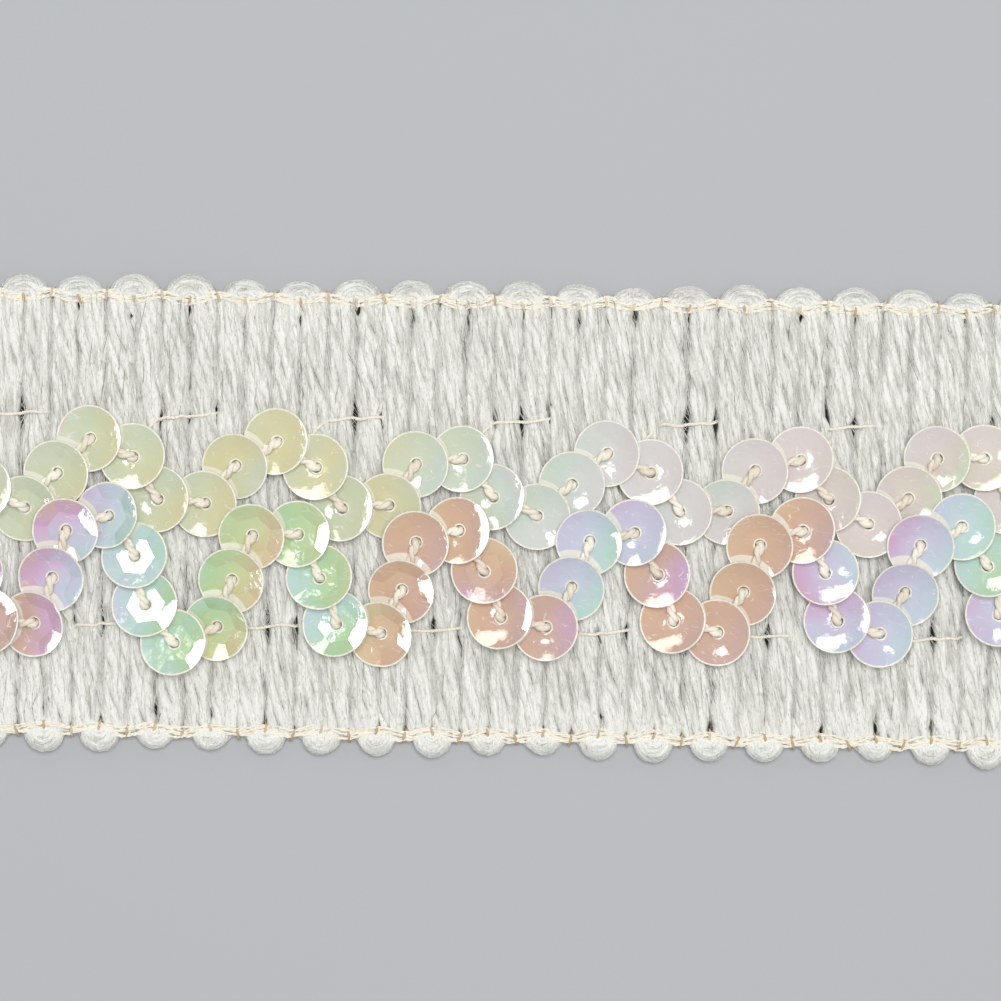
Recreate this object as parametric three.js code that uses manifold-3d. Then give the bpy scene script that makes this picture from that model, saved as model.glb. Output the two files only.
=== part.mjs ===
// Sequined braid trim: a cut length lying flat with its sequins up.
// Millimetres. X runs along the trim, Y across it, Z up. The origin is the middle of its flat back.
import * as THREE from 'three';
import { mergeVertices } from 'three/addons/utils/BufferGeometryUtils.js';
import Module from 'manifold-3d';

const wasm = await Module();
wasm.setup();

// Yarn band: one yarn goes back and forth across the width, and turns in a scallop at each edge.
const LEG_PITCH = 2.5;
const LEG_COUNT = 48;
const LENGTH = LEG_PITCH * LEG_COUNT;
const BINDING_LINE = 19.5;
const NOTCH_LINE = 19.95;
const EYELET_LINE = 18.2;
const LEG_SHOULDER = 16;
const SCALLOP_REACH = 1.35;
const SCALLOP_ROOT = 0.82 * LEG_PITCH;
const SCALLOP_ROUNDNESS = 0.45;
const LEG_CREST = 2.0;
const LEG_CREASE = 1.15;
const BOUND_CREST = 1.25;
const BOUND_CREASE = 0.75;
const LOOP_CREST = 1.85;
const LOOP_EDGE = 0.8;
const LOOP_FLARE = 0.22;
const EYELET_FLOOR = 0.45;
const PINCH_FLOOR = 0.6;
const LEG_WANDER = 0.22;
const LEG_UNEVEN = 0.1;
const UNEVEN_WAVES = [
  { share: 0.6, along: 0.61, across: 0.23, start: 0 },
  { share: 0.4, along: 1.73, across: -0.41, start: 1.3 },
];

// Tie rows: a thin thread draws two legs together at every third scallop.
const TIE_PERIOD = 3 * 2 * LEG_PITCH;
const FAR_TIE = { across: 8.8, along: 2.5 };
const NEAR_TIE = { across: -10.1, along: 10 };
const TIE_SQUEEZE = 0.35;
const TIE_REACH = 1.5 * LEG_PITCH;

// Edge binding: a twisted cream tape over the drawn-in yarn, inside each row of scallops.
const GAP = 0.3;
const BINDING_WIDTH = 1.1;
const BINDING_THICK = 0.5;
const BINDING_DIP = 0.2;
const BINDING_TOP_SHARE = 0.7;
const BINDING_DRAWN_IN = 0.8;
const GROOVE_INNER = 18.85;
const GROOVE_OUTER = 20.15;
const GROOVE_IN_NOTCH = NOTCH_LINE - 0.1;

// Sequins: six-sided cups on a thread, each lapping over the next one to its right.
const SEQUIN_RADIUS = 3.0;
const HEXAGON_RADIUS = 1.77;
const FLOOR_SIDES = 6;
const RIM_SIDES = 2 * FLOOR_SIDES;
const CUP_DEPTH = 0.66;
const FILM = 0.35;
const LAP_SLOPE = 0.2;
const TILT_DROP = 1.2 * LAP_SLOPE * HEXAGON_RADIUS;
const SEQUIN_REST = LEG_CREST + LEG_UNEVEN + GAP + FILM + TILT_DROP;

// The turns of the two waves, from the left end: valleys and crests in turn.
const WAVE_STEPS = 24;
const WAVE_TURNS = [
  { farAlong: -57.7, farAcross: 0.4, nearAlong: -57.9, nearAcross: -10.6 },
  { farAlong: -50.2, farAcross: 6.3, nearAlong: -50.4, nearAcross: -0.5 },
  { farAlong: -42.7, farAcross: 0.2, nearAlong: -42.7, nearAcross: -10.9 },
  { farAlong: -35.3, farAcross: 6.7, nearAlong: -35.6, nearAcross: 0.0 },
  { farAlong: -27.7, farAcross: 0.5, nearAlong: -27.2, nearAcross: -11.8 },
  { farAlong: -19.2, farAcross: 6.6, nearAlong: -19.3, nearAcross: -1.0 },
  { farAlong: -11.5, farAcross: 0.2, nearAlong: -11.1, nearAcross: -10.9 },
  { farAlong: -4.5, farAcross: 5.7, nearAlong: -4.4, nearAcross: -0.7 },
  { farAlong: 3.6, farAcross: 0.3, nearAlong: 3.6, nearAcross: -10.0 },
  { farAlong: 10.8, farAcross: 6.1, nearAlong: 11.4, nearAcross: -0.6 },
  { farAlong: 19.0, farAcross: 0.4, nearAlong: 19.0, nearAcross: -10.2 },
  { farAlong: 26.4, farAcross: 6.0, nearAlong: 26.9, nearAcross: -0.3 },
  { farAlong: 33.4, farAcross: 0.1, nearAlong: 33.5, nearAcross: -10.1 },
  { farAlong: 42.4, farAcross: 6.8, nearAlong: 41.3, nearAcross: 0.2 },
  { farAlong: 49.0, farAcross: 0.4, nearAlong: 48.5, nearAcross: -10.2 },
  { farAlong: 56.0, farAcross: 6.2, nearAlong: 55.9, nearAcross: -0.5 },
  { farAlong: 63.5, farAcross: 0.4, nearAlong: 63.3, nearAcross: -10.4 },
];
const STRINGS = {
  far: { along: 'farAlong', across: 'farAcross', steepness: 0.07, step: 4.3, first: 0.9 },
  near: { along: 'nearAlong', across: 'nearAcross', steepness: 0.09, step: 4.28, first: 0.6 },
};

const COLOURS = {
  yarn: { color: 0xe6e6df, roughness: 0.95, metalness: 0 },
  binding: { color: 0xe9dcc0, roughness: 0.8, metalness: 0 },
  farSequins: { color: 0xcfc9b4, roughness: 0.25, metalness: 0.2 },
  nearSequins: { color: 0xb58f8a, roughness: 0.22, metalness: 0.3 },
};

// A slow, repeatable unevenness between -1 and 1.
function drift(x, y) {
  return UNEVEN_WAVES.reduce(
    (sum, wave) => sum + wave.share * Math.sin(wave.along * x + wave.across * y + wave.start),
    0,
  );
}

// Distance along X from the nearest scallop's middle; near scallops sit half a pitch from far ones.
function fromScallop(x, side) {
  const pitch = 2 * LEG_PITCH;
  const middle = side > 0 ? LEG_PITCH : 0;
  const offset = THREE.MathUtils.euclideanModulo(x - middle + LEG_PITCH, pitch);
  return offset - LEG_PITCH;
}

// How far a scallop stands out from the binding line, from 1 at its middle to 0 in the notch.
function scallopBulge(x, side) {
  const reach = Math.abs(fromScallop(x, side)) / SCALLOP_ROOT;
  return reach >= 1 ? 0 : Math.pow(1 - reach * reach, SCALLOP_ROUNDNESS);
}

// Whether X lies nearer to a scallop's middle than to the notch beside it.
function inScallop(x, side) {
  return Math.abs(fromScallop(x, side)) < LEG_PITCH / 2;
}

// The two legs of a scallop spread apart where they turn.
function flaredX(x, row, outward) {
  return outward ? x + LOOP_FLARE * Math.sign(fromScallop(x, row.side)) : x;
}

// 1 on a tie, falling to 0 at the next legs.
function tiePull(x, tie) {
  const offset = THREE.MathUtils.euclideanModulo(x - tie.along + TIE_PERIOD / 2, TIE_PERIOD);
  return Math.max(0, 1 - Math.abs(offset - TIE_PERIOD / 2) / TIE_REACH);
}

// The columns of one leg: its crease and the two sides of its crest, as shares of the pitch.
const LEG_COLUMNS = [
  { share: 0, round: 0 },
  { share: 0.3, round: 1 },
  { share: 0.7, round: 1 },
];

// The rows across the band, from the near edge to the far one.
const BAND_ROWS = [
  { kind: 'tip', side: -1 },
  { kind: 'loop', side: -1 },
  { kind: 'groove', side: -1 },
  { kind: 'bound', side: -1, across: -GROOVE_INNER },
  { kind: 'eyelet', side: -1, across: -EYELET_LINE },
  { kind: 'leg', side: -1, across: -LEG_SHOULDER },
  { kind: 'tie', side: -1, across: NEAR_TIE.across, tie: NEAR_TIE },
  { kind: 'leg', side: -1, across: 0 },
  { kind: 'tie', side: 1, across: FAR_TIE.across, tie: FAR_TIE },
  { kind: 'leg', side: 1, across: LEG_SHOULDER },
  { kind: 'eyelet', side: 1, across: EYELET_LINE },
  { kind: 'bound', side: 1, across: GROOVE_INNER },
  { kind: 'groove', side: 1 },
  { kind: 'loop', side: 1 },
  { kind: 'tip', side: 1 },
];

// One point of the ridged front: a column of a leg where a row crosses it.
function bandPoint(leg, column, row) {
  const outward = ['tip', 'loop', 'groove'].includes(row.kind) && column.share > 0;
  const evenX = (leg + column.share) * LEG_PITCH - LENGTH / 2;
  const inner = leg > 0 && leg < LEG_COUNT;
  const bulge = scallopBulge(flaredX(evenX, row, outward), row.side);
  const tip = NOTCH_LINE + SCALLOP_REACH * bulge;
  const groove = THREE.MathUtils.lerp(GROOVE_IN_NOTCH, GROOVE_OUTER, bulge);
  let x = flaredX(evenX, row, outward);
  let y = row.across;
  let z = THREE.MathUtils.lerp(LEG_CREASE, LEG_CREST, column.round) + LEG_UNEVEN * drift(x, y ?? 0);
  if (row.kind === 'tip') {
    y = row.side * tip;
    z = LOOP_EDGE;
  } else if (row.kind === 'loop') {
    y = row.side * THREE.MathUtils.lerp(groove, tip, 0.5);
    z = THREE.MathUtils.lerp(BOUND_CREASE, LOOP_CREST, bulge);
  } else if (row.kind === 'groove') {
    y = row.side * groove;
    z = THREE.MathUtils.lerp(BOUND_CREASE, BOUND_CREST, Math.min(bulge, column.round));
  } else if (row.kind === 'bound') {
    z = THREE.MathUtils.lerp(BOUND_CREASE, BOUND_CREST, column.round);
  } else if (row.kind === 'eyelet' && inner && column.share === 0 && inScallop(x, row.side)) {
    z = EYELET_FLOOR;
  } else if (row.tie) {
    const pull = tiePull(x, row.tie);
    z = column.share === 0 && pull === 0 ? PINCH_FLOOR : z - TIE_SQUEEZE * pull;
  }
  if (inner && (row.tie || row.across === 0)) {
    x += LEG_WANDER * drift(x, 3 * y);
  }
  return new THREE.Vector3(x, y, z);
}

// The band: a net of points for its ridged front, walls down to the flat back, and that back.
function yarnBand() {
  const lines = BAND_ROWS.map((row) => {
    const line = [];
    for (let leg = 0; leg < LEG_COUNT; leg += 1) {
      LEG_COLUMNS.forEach((column) => line.push(bandPoint(leg, column, row)));
    }
    line.push(bandPoint(LEG_COUNT, LEG_COLUMNS[0], row));
    return line;
  });
  const across = lines.length;
  const along = lines[0].length;
  const points = lines.flat();
  const faces = [];
  for (let r = 0; r + 1 < across; r += 1) {
    for (let c = 0; c + 1 < along; c += 1) {
      const a = r * along + c;
      faces.push(a, a + 1, a + along + 1, a, a + along + 1, a + along);
    }
  }
  const rim = [];
  for (let c = 0; c < along; c += 1) rim.push(c);
  for (let r = 1; r < across; r += 1) rim.push(r * along + along - 1);
  for (let c = along - 2; c >= 0; c -= 1) rim.push((across - 1) * along + c);
  for (let r = across - 2; r > 0; r -= 1) rim.push(r * along);
  const back = rim.map((index) => points[index].clone().setZ(0));
  const firstBack = points.length;
  points.push(...back);
  rim.forEach((top, k) => {
    const next = (k + 1) % rim.length;
    faces.push(top, firstBack + k, firstBack + next, top, firstBack + next, rim[next]);
  });
  const outline = back.map((point) => new THREE.Vector2(point.x, point.y));
  THREE.ShapeUtils.triangulateShape(outline, []).forEach(([a, b, c]) => {
    faces.push(firstBack + c, firstBack + b, firstBack + a);
  });
  return meshOf(points, faces);
}

// A mesh geometry of shared points and the triangles between them.
function meshOf(points, faces) {
  const geometry = new THREE.BufferGeometry().setFromPoints(points);
  geometry.setIndex(faces);
  return geometry;
}

// One edge binding: a tape that rides over each leg and dips between two legs.
function edgeBinding(side) {
  const halves = 2 * LEG_COUNT;
  const points = [];
  const faces = [];
  for (let k = 0; k <= halves; k += 1) {
    const x = (k * LEG_PITCH) / 2 - LENGTH / 2;
    const onLeg = k % 2 === 1;
    const under = BOUND_CREST + GAP - (onLeg ? 0 : BINDING_DIP);
    const half = (BINDING_WIDTH / 2) * (onLeg ? 1 : BINDING_DRAWN_IN);
    const y = side * BINDING_LINE;
    points.push(new THREE.Vector3(x, y - half, under));
    points.push(new THREE.Vector3(x, y + half, under));
    points.push(new THREE.Vector3(x, y + BINDING_TOP_SHARE * half, under + BINDING_THICK));
    points.push(new THREE.Vector3(x, y - BINDING_TOP_SHARE * half, under + BINDING_THICK));
  }
  for (let k = 0; k < halves; k += 1) {
    for (let s = 0; s < 4; s += 1) {
      const a = 4 * k + s;
      const b = 4 * k + ((s + 1) % 4);
      faces.push(a, b + 4, a + 4, a, b, b + 4);
    }
  }
  const last = 4 * halves;
  faces.push(0, 2, 1, 0, 3, 2, last, last + 1, last + 2, last, last + 2, last + 3);
  return meshOf(points, faces);
}

// The wave of a string: smooth turns with steep stretches between them.
function waveCurve(string) {
  const turns = WAVE_TURNS.map((turn) => new THREE.Vector2(turn[string.along], turn[string.across]));
  const points = [];
  for (let t = 0; t + 1 < turns.length; t += 1) {
    for (let k = 0; k < WAVE_STEPS; k += 1) {
      const q = k / WAVE_STEPS;
      const along = q + string.steepness * Math.sin(2 * Math.PI * q);
      const across = (1 - Math.cos(Math.PI * q)) / 2;
      points.push(new THREE.Vector2(
        THREE.MathUtils.lerp(turns[t].x, turns[t + 1].x, along),
        THREE.MathUtils.lerp(turns[t].y, turns[t + 1].y, across),
      ));
    }
  }
  return points;
}

// Sequins at even steps along the wave.
function sequinPlaces(string) {
  const curve = waveCurve(string);
  const places = [];
  let walked = 0;
  let due = string.first;
  for (let k = 1; k < curve.length; k += 1) {
    const stretch = curve[k].distanceTo(curve[k - 1]);
    while (due <= walked + stretch) {
      const at = curve[k - 1].clone().lerp(curve[k], (due - walked) / stretch);
      if (Math.abs(at.x) <= LENGTH / 2 - SEQUIN_RADIUS) {
        places.push({ x: at.x, y: at.y });
      }
      due += string.step;
    }
    walked += stretch;
  }
  return places;
}

// The direction from one sequin to another, in the plane of the trim.
function linkAngle(from, to) {
  return Math.atan2(to.y - from.y, to.x - from.x);
}

// Each cup leans between the directions of its two neighbours, raised towards the right-hand one.
function leanCups(places) {
  places.forEach((place, k) => {
    const left = places[Math.max(k - 1, 0)];
    const right = places[Math.min(k + 1, places.length - 1)];
    const arriving = left === place ? linkAngle(place, right) : linkAngle(left, place);
    const leaving = right === place ? arriving : linkAngle(place, right);
    const bend = Math.atan2(Math.sin(leaving - arriving), Math.cos(leaving - arriving));
    place.ahead = arriving + bend / 2;
    place.tilt = Math.atan(LAP_SLOPE / Math.cos(bend / 2));
  });
}

// One cup: a six-sided floor, facets out to a thin round rim, and the same again below.
function sequinCup() {
  const ringPoint = (r, angle, z) => new THREE.Vector3(r * Math.cos(angle), r * Math.sin(angle), z);
  const points = [];
  const faces = [];
  const rim = (k) => k % RIM_SIDES;
  for (let k = 0; k < RIM_SIDES; k += 1) {
    points.push(ringPoint(SEQUIN_RADIUS, (2 * Math.PI * k) / RIM_SIDES, CUP_DEPTH));
  }
  [0, FILM].forEach((drop) => {
    const first = points.length;
    const floor = (k) => first + (k % FLOOR_SIDES);
    const add = (a, b, c) => faces.push(...(drop ? [a, c, b] : [a, b, c]));
    for (let k = 0; k < FLOOR_SIDES; k += 1) {
      points.push(ringPoint(HEXAGON_RADIUS, (2 * Math.PI * k) / FLOOR_SIDES, -drop));
      if (k > 0 && k + 1 < FLOOR_SIDES) {
        add(floor(0), floor(k), floor(k + 1));
      }
      add(floor(k), rim(2 * k), rim(2 * k + 1));
      add(floor(k), rim(2 * k + 1), floor(k + 1));
      add(floor(k + 1), rim(2 * k + 1), rim(2 * k + 2));
    }
  });
  return meshOf(points, faces);
}

// A closed geometry as a solid that can be joined and cut.
function solidOf(geometry) {
  const bare = geometry.clone();
  bare.deleteAttribute('normal');
  bare.deleteAttribute('uv');
  const merged = mergeVertices(bare, 1e-5);
  return new wasm.Manifold(new wasm.Mesh({
    numProp: 3,
    vertProperties: new Float32Array(merged.attributes.position.array),
    triVerts: new Uint32Array(merged.index.array),
  }));
}

// A joined or cut solid back as a geometry.
function geometryOf(solid) {
  const mesh = solid.getMesh();
  const geometry = new THREE.BufferGeometry();
  geometry.setAttribute('position', new THREE.BufferAttribute(mesh.vertProperties.slice(), 3));
  geometry.setIndex(new THREE.BufferAttribute(mesh.triVerts.slice(), 1));
  return geometry;
}

// A cup set at its place: raised on the side that laps over its neighbour.
function cupAt(place) {
  const turn = new THREE.Matrix4().makeRotationZ(place.ahead);
  const tilt = new THREE.Matrix4().makeRotationY(-place.tilt);
  const move = new THREE.Matrix4().makeTranslation(place.x, place.y, SEQUIN_REST);
  return sequinCup().applyMatrix4(move.multiply(turn).multiply(tilt));
}

// All the cups of one string, joined where they lap.
function sequinString(places) {
  return wasm.Manifold.union(places.map((place) => solidOf(cupAt(place))));
}

// Room for the cups of the near string, which lie over those of the far string where they meet.
function roomOver(places, lowerPlaces) {
  const over = places.filter((place) => lowerPlaces.some(
    (lower) => Math.hypot(place.x - lower.x, place.y - lower.y) < 2 * SEQUIN_RADIUS + GAP,
  ));
  return wasm.Manifold.union(over.map((place) => {
    const reach = (SEQUIN_RADIUS + GAP) / Math.cos(Math.PI / RIM_SIDES);
    const round = new THREE.CylinderGeometry(reach, reach, 4 * SEQUIN_RADIUS, RIM_SIDES);
    return solidOf(round.rotateX(Math.PI / 2).rotateZ(place.ahead).translate(place.x, place.y, 0));
  }));
}

const farPlaces = sequinPlaces(STRINGS.far);
const nearPlaces = sequinPlaces(STRINGS.near);
leanCups(farPlaces);
leanCups(nearPlaces);
const farString = sequinString(farPlaces).subtract(roomOver(nearPlaces, farPlaces));
const nearString = sequinString(nearPlaces);

const trim = new THREE.Group();

function addPiece(name, geometry, colour) {
  const mesh = new THREE.Mesh(geometry, new THREE.MeshStandardMaterial({ ...colour, flatShading: true }));
  mesh.name = name;
  trim.add(mesh);
}

addPiece('yarn_body', yarnBand(), COLOURS.yarn);
addPiece('binding_far', edgeBinding(1), COLOURS.binding);
addPiece('binding_near', edgeBinding(-1), COLOURS.binding);
addPiece('sequin_string_far', geometryOf(farString), COLOURS.farSequins);
addPiece('sequin_string_near', geometryOf(nearString), COLOURS.nearSequins);

export default trim;
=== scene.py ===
import math

import bmesh
import bpy
import numpy as np
from bpy.props import FloatProperty, FloatVectorProperty, IntProperty
from mathutils import Matrix, Vector


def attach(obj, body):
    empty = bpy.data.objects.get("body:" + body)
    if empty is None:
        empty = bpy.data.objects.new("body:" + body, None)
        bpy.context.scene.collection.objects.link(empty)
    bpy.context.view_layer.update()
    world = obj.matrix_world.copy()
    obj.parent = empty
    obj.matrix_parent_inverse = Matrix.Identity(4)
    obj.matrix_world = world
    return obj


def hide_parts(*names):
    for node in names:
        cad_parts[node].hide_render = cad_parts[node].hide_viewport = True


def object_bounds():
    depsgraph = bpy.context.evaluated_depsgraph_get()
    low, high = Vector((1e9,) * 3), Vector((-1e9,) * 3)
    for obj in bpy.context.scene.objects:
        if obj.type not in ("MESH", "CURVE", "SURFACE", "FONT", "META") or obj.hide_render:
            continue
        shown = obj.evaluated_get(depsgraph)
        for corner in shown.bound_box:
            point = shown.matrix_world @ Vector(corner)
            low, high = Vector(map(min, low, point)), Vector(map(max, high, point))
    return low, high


bl_info = {
    "name": "Sequined braid trim",
    "version": (1, 0, 0),
    "blender": (4, 5, 0),
    "location": "3D View > Sidebar > Trim",
    "description": "Builds a cut length of sequined braid trim, piece by piece",
    "category": "Add Mesh",
}

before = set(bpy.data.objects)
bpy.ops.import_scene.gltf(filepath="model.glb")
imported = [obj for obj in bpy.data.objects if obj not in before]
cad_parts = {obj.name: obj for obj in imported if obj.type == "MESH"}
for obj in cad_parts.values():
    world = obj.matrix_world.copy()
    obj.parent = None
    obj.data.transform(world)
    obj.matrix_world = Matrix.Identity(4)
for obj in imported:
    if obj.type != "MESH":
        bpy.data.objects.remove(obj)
CAD_LOW, CAD_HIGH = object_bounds()
MM = 0.001
TRIM_LENGTH = (CAD_HIGH.x - CAD_LOW.x) / MM
TRIM_WIDTH = (CAD_HIGH.y - CAD_LOW.y) / MM
HALF_LENGTH = TRIM_LENGTH / 2
UP = np.array((0.0, 0.0, 1.0))
TURN = 2 * math.pi

# Lines across the trim
BINDING_LINE = 19.5
EYELET_LINE = 18.2
NOTCH_LINE = 19.95
SCALLOP_EDGE = TRIM_WIDTH / 2

# Ties: a thin thread draws two legs together at every third scallop.
TIE_PERIOD = 15.0
FAR_TIE = {"along": 2.5, "across": 8.8}
NEAR_TIE = {"along": 10.0, "across": -10.1}

# The turns of the two waves of sequins, from the left end: valleys and crests in turn,
# as (far along, far across, near along, near across).
WAVE_TURNS = (
    (-57.7, 0.4, -57.9, -10.6),
    (-50.2, 6.3, -50.4, -0.5),
    (-42.7, 0.2, -42.7, -10.9),
    (-35.3, 6.7, -35.6, 0.0),
    (-27.7, 0.5, -27.2, -11.8),
    (-19.2, 6.6, -19.3, -1.0),
    (-11.5, 0.2, -11.1, -10.9),
    (-4.5, 5.7, -4.4, -0.7),
    (3.6, 0.3, 3.6, -10.0),
    (10.8, 6.1, 11.4, -0.6),
    (19.0, 0.4, 19.0, -10.2),
    (26.4, 6.0, 26.9, -0.3),
    (33.4, 0.1, 33.5, -10.1),
    (42.4, 6.8, 41.3, 0.2),
    (49.0, 0.4, 48.5, -10.2),
    (56.0, 6.2, 55.9, -0.5),
    (63.5, 0.4, 63.3, -10.4),
)
WAVE_STEPS = 24

# Each string: its columns of the turns, how steep it is between them, the step from sequin to
# sequin, how far the first is from the left end, and its cups' share of the full depth.
STRINGS = {
    "far": {"columns": (0, 1), "steepness": 0.07, "step": 4.47, "first": 3.55, "depth": 0.76},
    "near": {"columns": (2, 3), "steepness": 0.09, "step": 4.455, "first": 3.25, "depth": 1.0},
}

# How the pearl colour drifts along each string: (place along the trim, phase of the pearl).
PALE_DRIFT = (
    (-60, 0.16), (-46, 0.12), (-34, 0.14), (-28, 0.26), (-17, 0.3), (-14, 0.16), (-6, 0.5),
    (3, 0.56), (6, 0.7), (22, 0.76), (30, 0.9), (46, 0.92), (60, 0.8),
)
DEEP_DRIFT = (
    (-60, 0.5), (-52, 0.36), (-46, 0.16), (-41.6, 0.15), (-39.5, 0.24), (-36.5, 0.27),
    (-35, 0.42), (-32.6, 0.5), (-32.2, 0.6), (-27, 0.66), (-22, 0.78), (-18, 0.72), (-15, 0.6),
    (-11.0, 0.56), (-10.2, 0.99), (1.5, 1.03), (5.3, 1.07), (6.2, 1.46), (12, 1.42), (13.6, 1.36),
    (14.3, 1.07), (26.5, 0.99), (28.8, 1.05), (29.4, 1.34), (39.5, 1.36), (41.5, 1.54),
    (44.5, 1.6), (46, 1.34), (60, 1.42),
)


def length_setting(label, description, size, precision=5):
    """A length that a maker would change, in millimetres."""
    return FloatProperty(name=label, description=description, default=size * MM,
                         unit="LENGTH", precision=precision)


def count_setting(label, description, count):
    """A number of things that a maker would change."""
    return IntProperty(name=label, description=description, default=count, min=0)


def colour_setting(label, description, colour):
    """A colour that a maker would change."""
    return FloatVectorProperty(name=label, description=description, default=(*colour, 1.0),
                               subtype="COLOR", size=4)


class TrimSizes(bpy.types.PropertyGroup):
    """The trim's sizes"""
    leg_pitch: length_setting("Leg pitch", "Distance from one leg of yarn to the next", 2.5)
    ply_radius: length_setting("Ply radius", "Half the thickness of one ply of the yarn", 0.5)
    fibre_radius: length_setting(
        "Fibre radius", "Half the thickness of one tuft of fine fibres", 0.026, 6)
    fibres_per_leg: count_setting(
        "Fibres per leg", "Tufts of fine fibres laid on one leg of yarn", 320)
    fibres_per_scallop: count_setting(
        "Fibres per scallop", "Tufts of fine fibres laid round one scallop", 84)
    thread_radius: length_setting(
        "Thread radius", "Half the thickness of one ply of the cream thread", 0.1, 6)
    cup_radius: length_setting("Sequin radius", "From the middle of a sequin to its rim", 3.0)
    cup_depth: length_setting("Sequin depth", "Height of a sequin's rim above its floor", 0.66)
    film: length_setting("Film thickness", "Thickness of the sequin film", 0.06, 6)


class TrimColours(bpy.types.PropertyGroup):
    """The trim's colours"""
    yarn: colour_setting("Yarn", "Brightest colour of the off-white yarn", (0.95, 0.95, 0.91))
    # Painted shade between the fibres of the yarn.
    yarn_shade: colour_setting(
        "Yarn shade", "Colour between the fibres of the yarn", (0.68, 0.67, 0.61))
    thread: colour_setting("Thread", "Colour of the cream threads", (0.94, 0.89, 0.78))
    # Painted shade of the threads, in their knots.
    thread_shade: colour_setting(
        "Thread shade", "Colour of the threads in their knots", (0.58, 0.44, 0.28))
    # Also the painted highlight round each sequin's hole.
    film_edge: colour_setting(
        "Film edge", "Colour of the cut edge of the sequin film", (0.96, 0.93, 0.82))
    floor: colour_setting("Floor", "Colour of the pale floor", (0.47, 0.48, 0.50))


def count_of(name):
    return getattr(bpy.context.scene.trim_sizes, name)


def size_mm(name):
    return count_of(name) / MM


def colour_of(name):
    return tuple(getattr(bpy.context.scene.trim_colours, name))


# Numbers and curves

TWIST_STEPS = 6


def blend_between(low, high, share):
    return low + (high - low) * share


def hill(distance, width):
    """1 at a distance of 0, falling softly over the width."""
    return np.exp(-((distance / width) ** 2))


def unit(vectors):
    return vectors / np.maximum(np.linalg.norm(vectors, axis=-1, keepdims=True), 1e-9)


def on_trim(x):
    """The same places along the trim, with none past its cut ends."""
    return np.clip(x, -HALF_LENGTH, HALF_LENGTH)


def within_ends(path):
    """The same path, with no point past the trim's cut ends."""
    path = np.array(path, float)
    path[:, 0] = on_trim(path[:, 0])
    return path


def distance_along(path):
    """How far along a path each of its points lies."""
    steps = np.linalg.norm(np.diff(path, axis=0), axis=1)
    return np.concatenate(([0.0], np.cumsum(steps)))


def evenly(path, spacing):
    """The same path with points at an even spacing."""
    path = np.asarray(path, float)
    walked = distance_along(path)
    count = max(int(round(walked[-1] / spacing)), 2) + 1
    due = np.linspace(0, walked[-1], count)
    return np.stack([np.interp(due, walked, path[:, axis]) for axis in range(3)], axis=1)


def smooth_path(corners, spacing, rounds=3):
    """A soft curve through a few corners: each round cuts the corners once more."""
    path = np.asarray(corners, float)
    for _ in range(rounds):
        first = 0.75 * path[:-1] + 0.25 * path[1:]
        second = 0.25 * path[:-1] + 0.75 * path[1:]
        middle = np.stack([first, second], axis=1).reshape(-1, 3)
        path = np.vstack([path[:1], middle, path[-1:]])
    return evenly(path, spacing)


def twisted(path, normal, radius, lay, start=0.0):
    """Two plies that wind round each other along a path. The normal is square to the path."""
    path = evenly(path, lay / TWIST_STEPS)
    ahead = unit(np.gradient(path, axis=0))
    sideways = unit(np.cross(ahead, np.asarray(normal, float)))
    over = np.cross(sideways, ahead)
    walked = np.linspace(0, 1, len(path)) * np.linalg.norm(np.diff(path, axis=0), axis=1).sum()
    turned = TURN * walked / lay + start
    plies = []
    for half_turn in (0, math.pi):
        across = np.cos(turned + half_turn)[:, None] * sideways
        upward = np.sin(turned + half_turn)[:, None] * over
        plies.append(path + radius * (across + upward))
    return plies


# Pieces made of strands

def strand_nodes(sides):
    """Turns lines into closed tubes, as thick as each point's thickness says."""
    group = bpy.data.node_groups.new(f"strands_{sides}", "GeometryNodeTree")
    group.interface.new_socket("Geometry", in_out="INPUT", socket_type="NodeSocketGeometry")
    group.interface.new_socket("Geometry", in_out="OUTPUT", socket_type="NodeSocketGeometry")
    entry = group.nodes.new("NodeGroupInput")
    leave = group.nodes.new("NodeGroupOutput")
    curve = group.nodes.new("GeometryNodeMeshToCurve")
    thickness = group.nodes.new("GeometryNodeInputNamedAttribute")
    thickness.data_type = "FLOAT"
    thickness.inputs["Name"].default_value = "thickness"
    ring = group.nodes.new("GeometryNodeCurvePrimitiveCircle")
    ring.inputs["Resolution"].default_value = sides
    ring.inputs["Radius"].default_value = 1.0
    tube = group.nodes.new("GeometryNodeCurveToMesh")
    tube.inputs["Fill Caps"].default_value = True
    smooth = group.nodes.new("GeometryNodeSetShadeSmooth")
    group.links.new(entry.outputs[0], curve.inputs["Mesh"])
    group.links.new(curve.outputs["Curve"], tube.inputs["Curve"])
    group.links.new(ring.outputs["Curve"], tube.inputs["Profile Curve"])
    group.links.new(thickness.outputs["Attribute"], tube.inputs["Scale"])
    group.links.new(tube.outputs["Mesh"], smooth.inputs["Geometry"])
    group.links.new(smooth.outputs["Geometry"], leave.inputs[0])
    return group


def set_values(mesh, name, values, kind="FLOAT", domain="POINT"):
    """Stores a value for each point or face of a mesh, for its finish to read."""
    field = "vector" if kind == "FLOAT_VECTOR" else "value"
    mesh.attributes.new(name, kind, domain).data.foreach_set(field, values.ravel())


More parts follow.
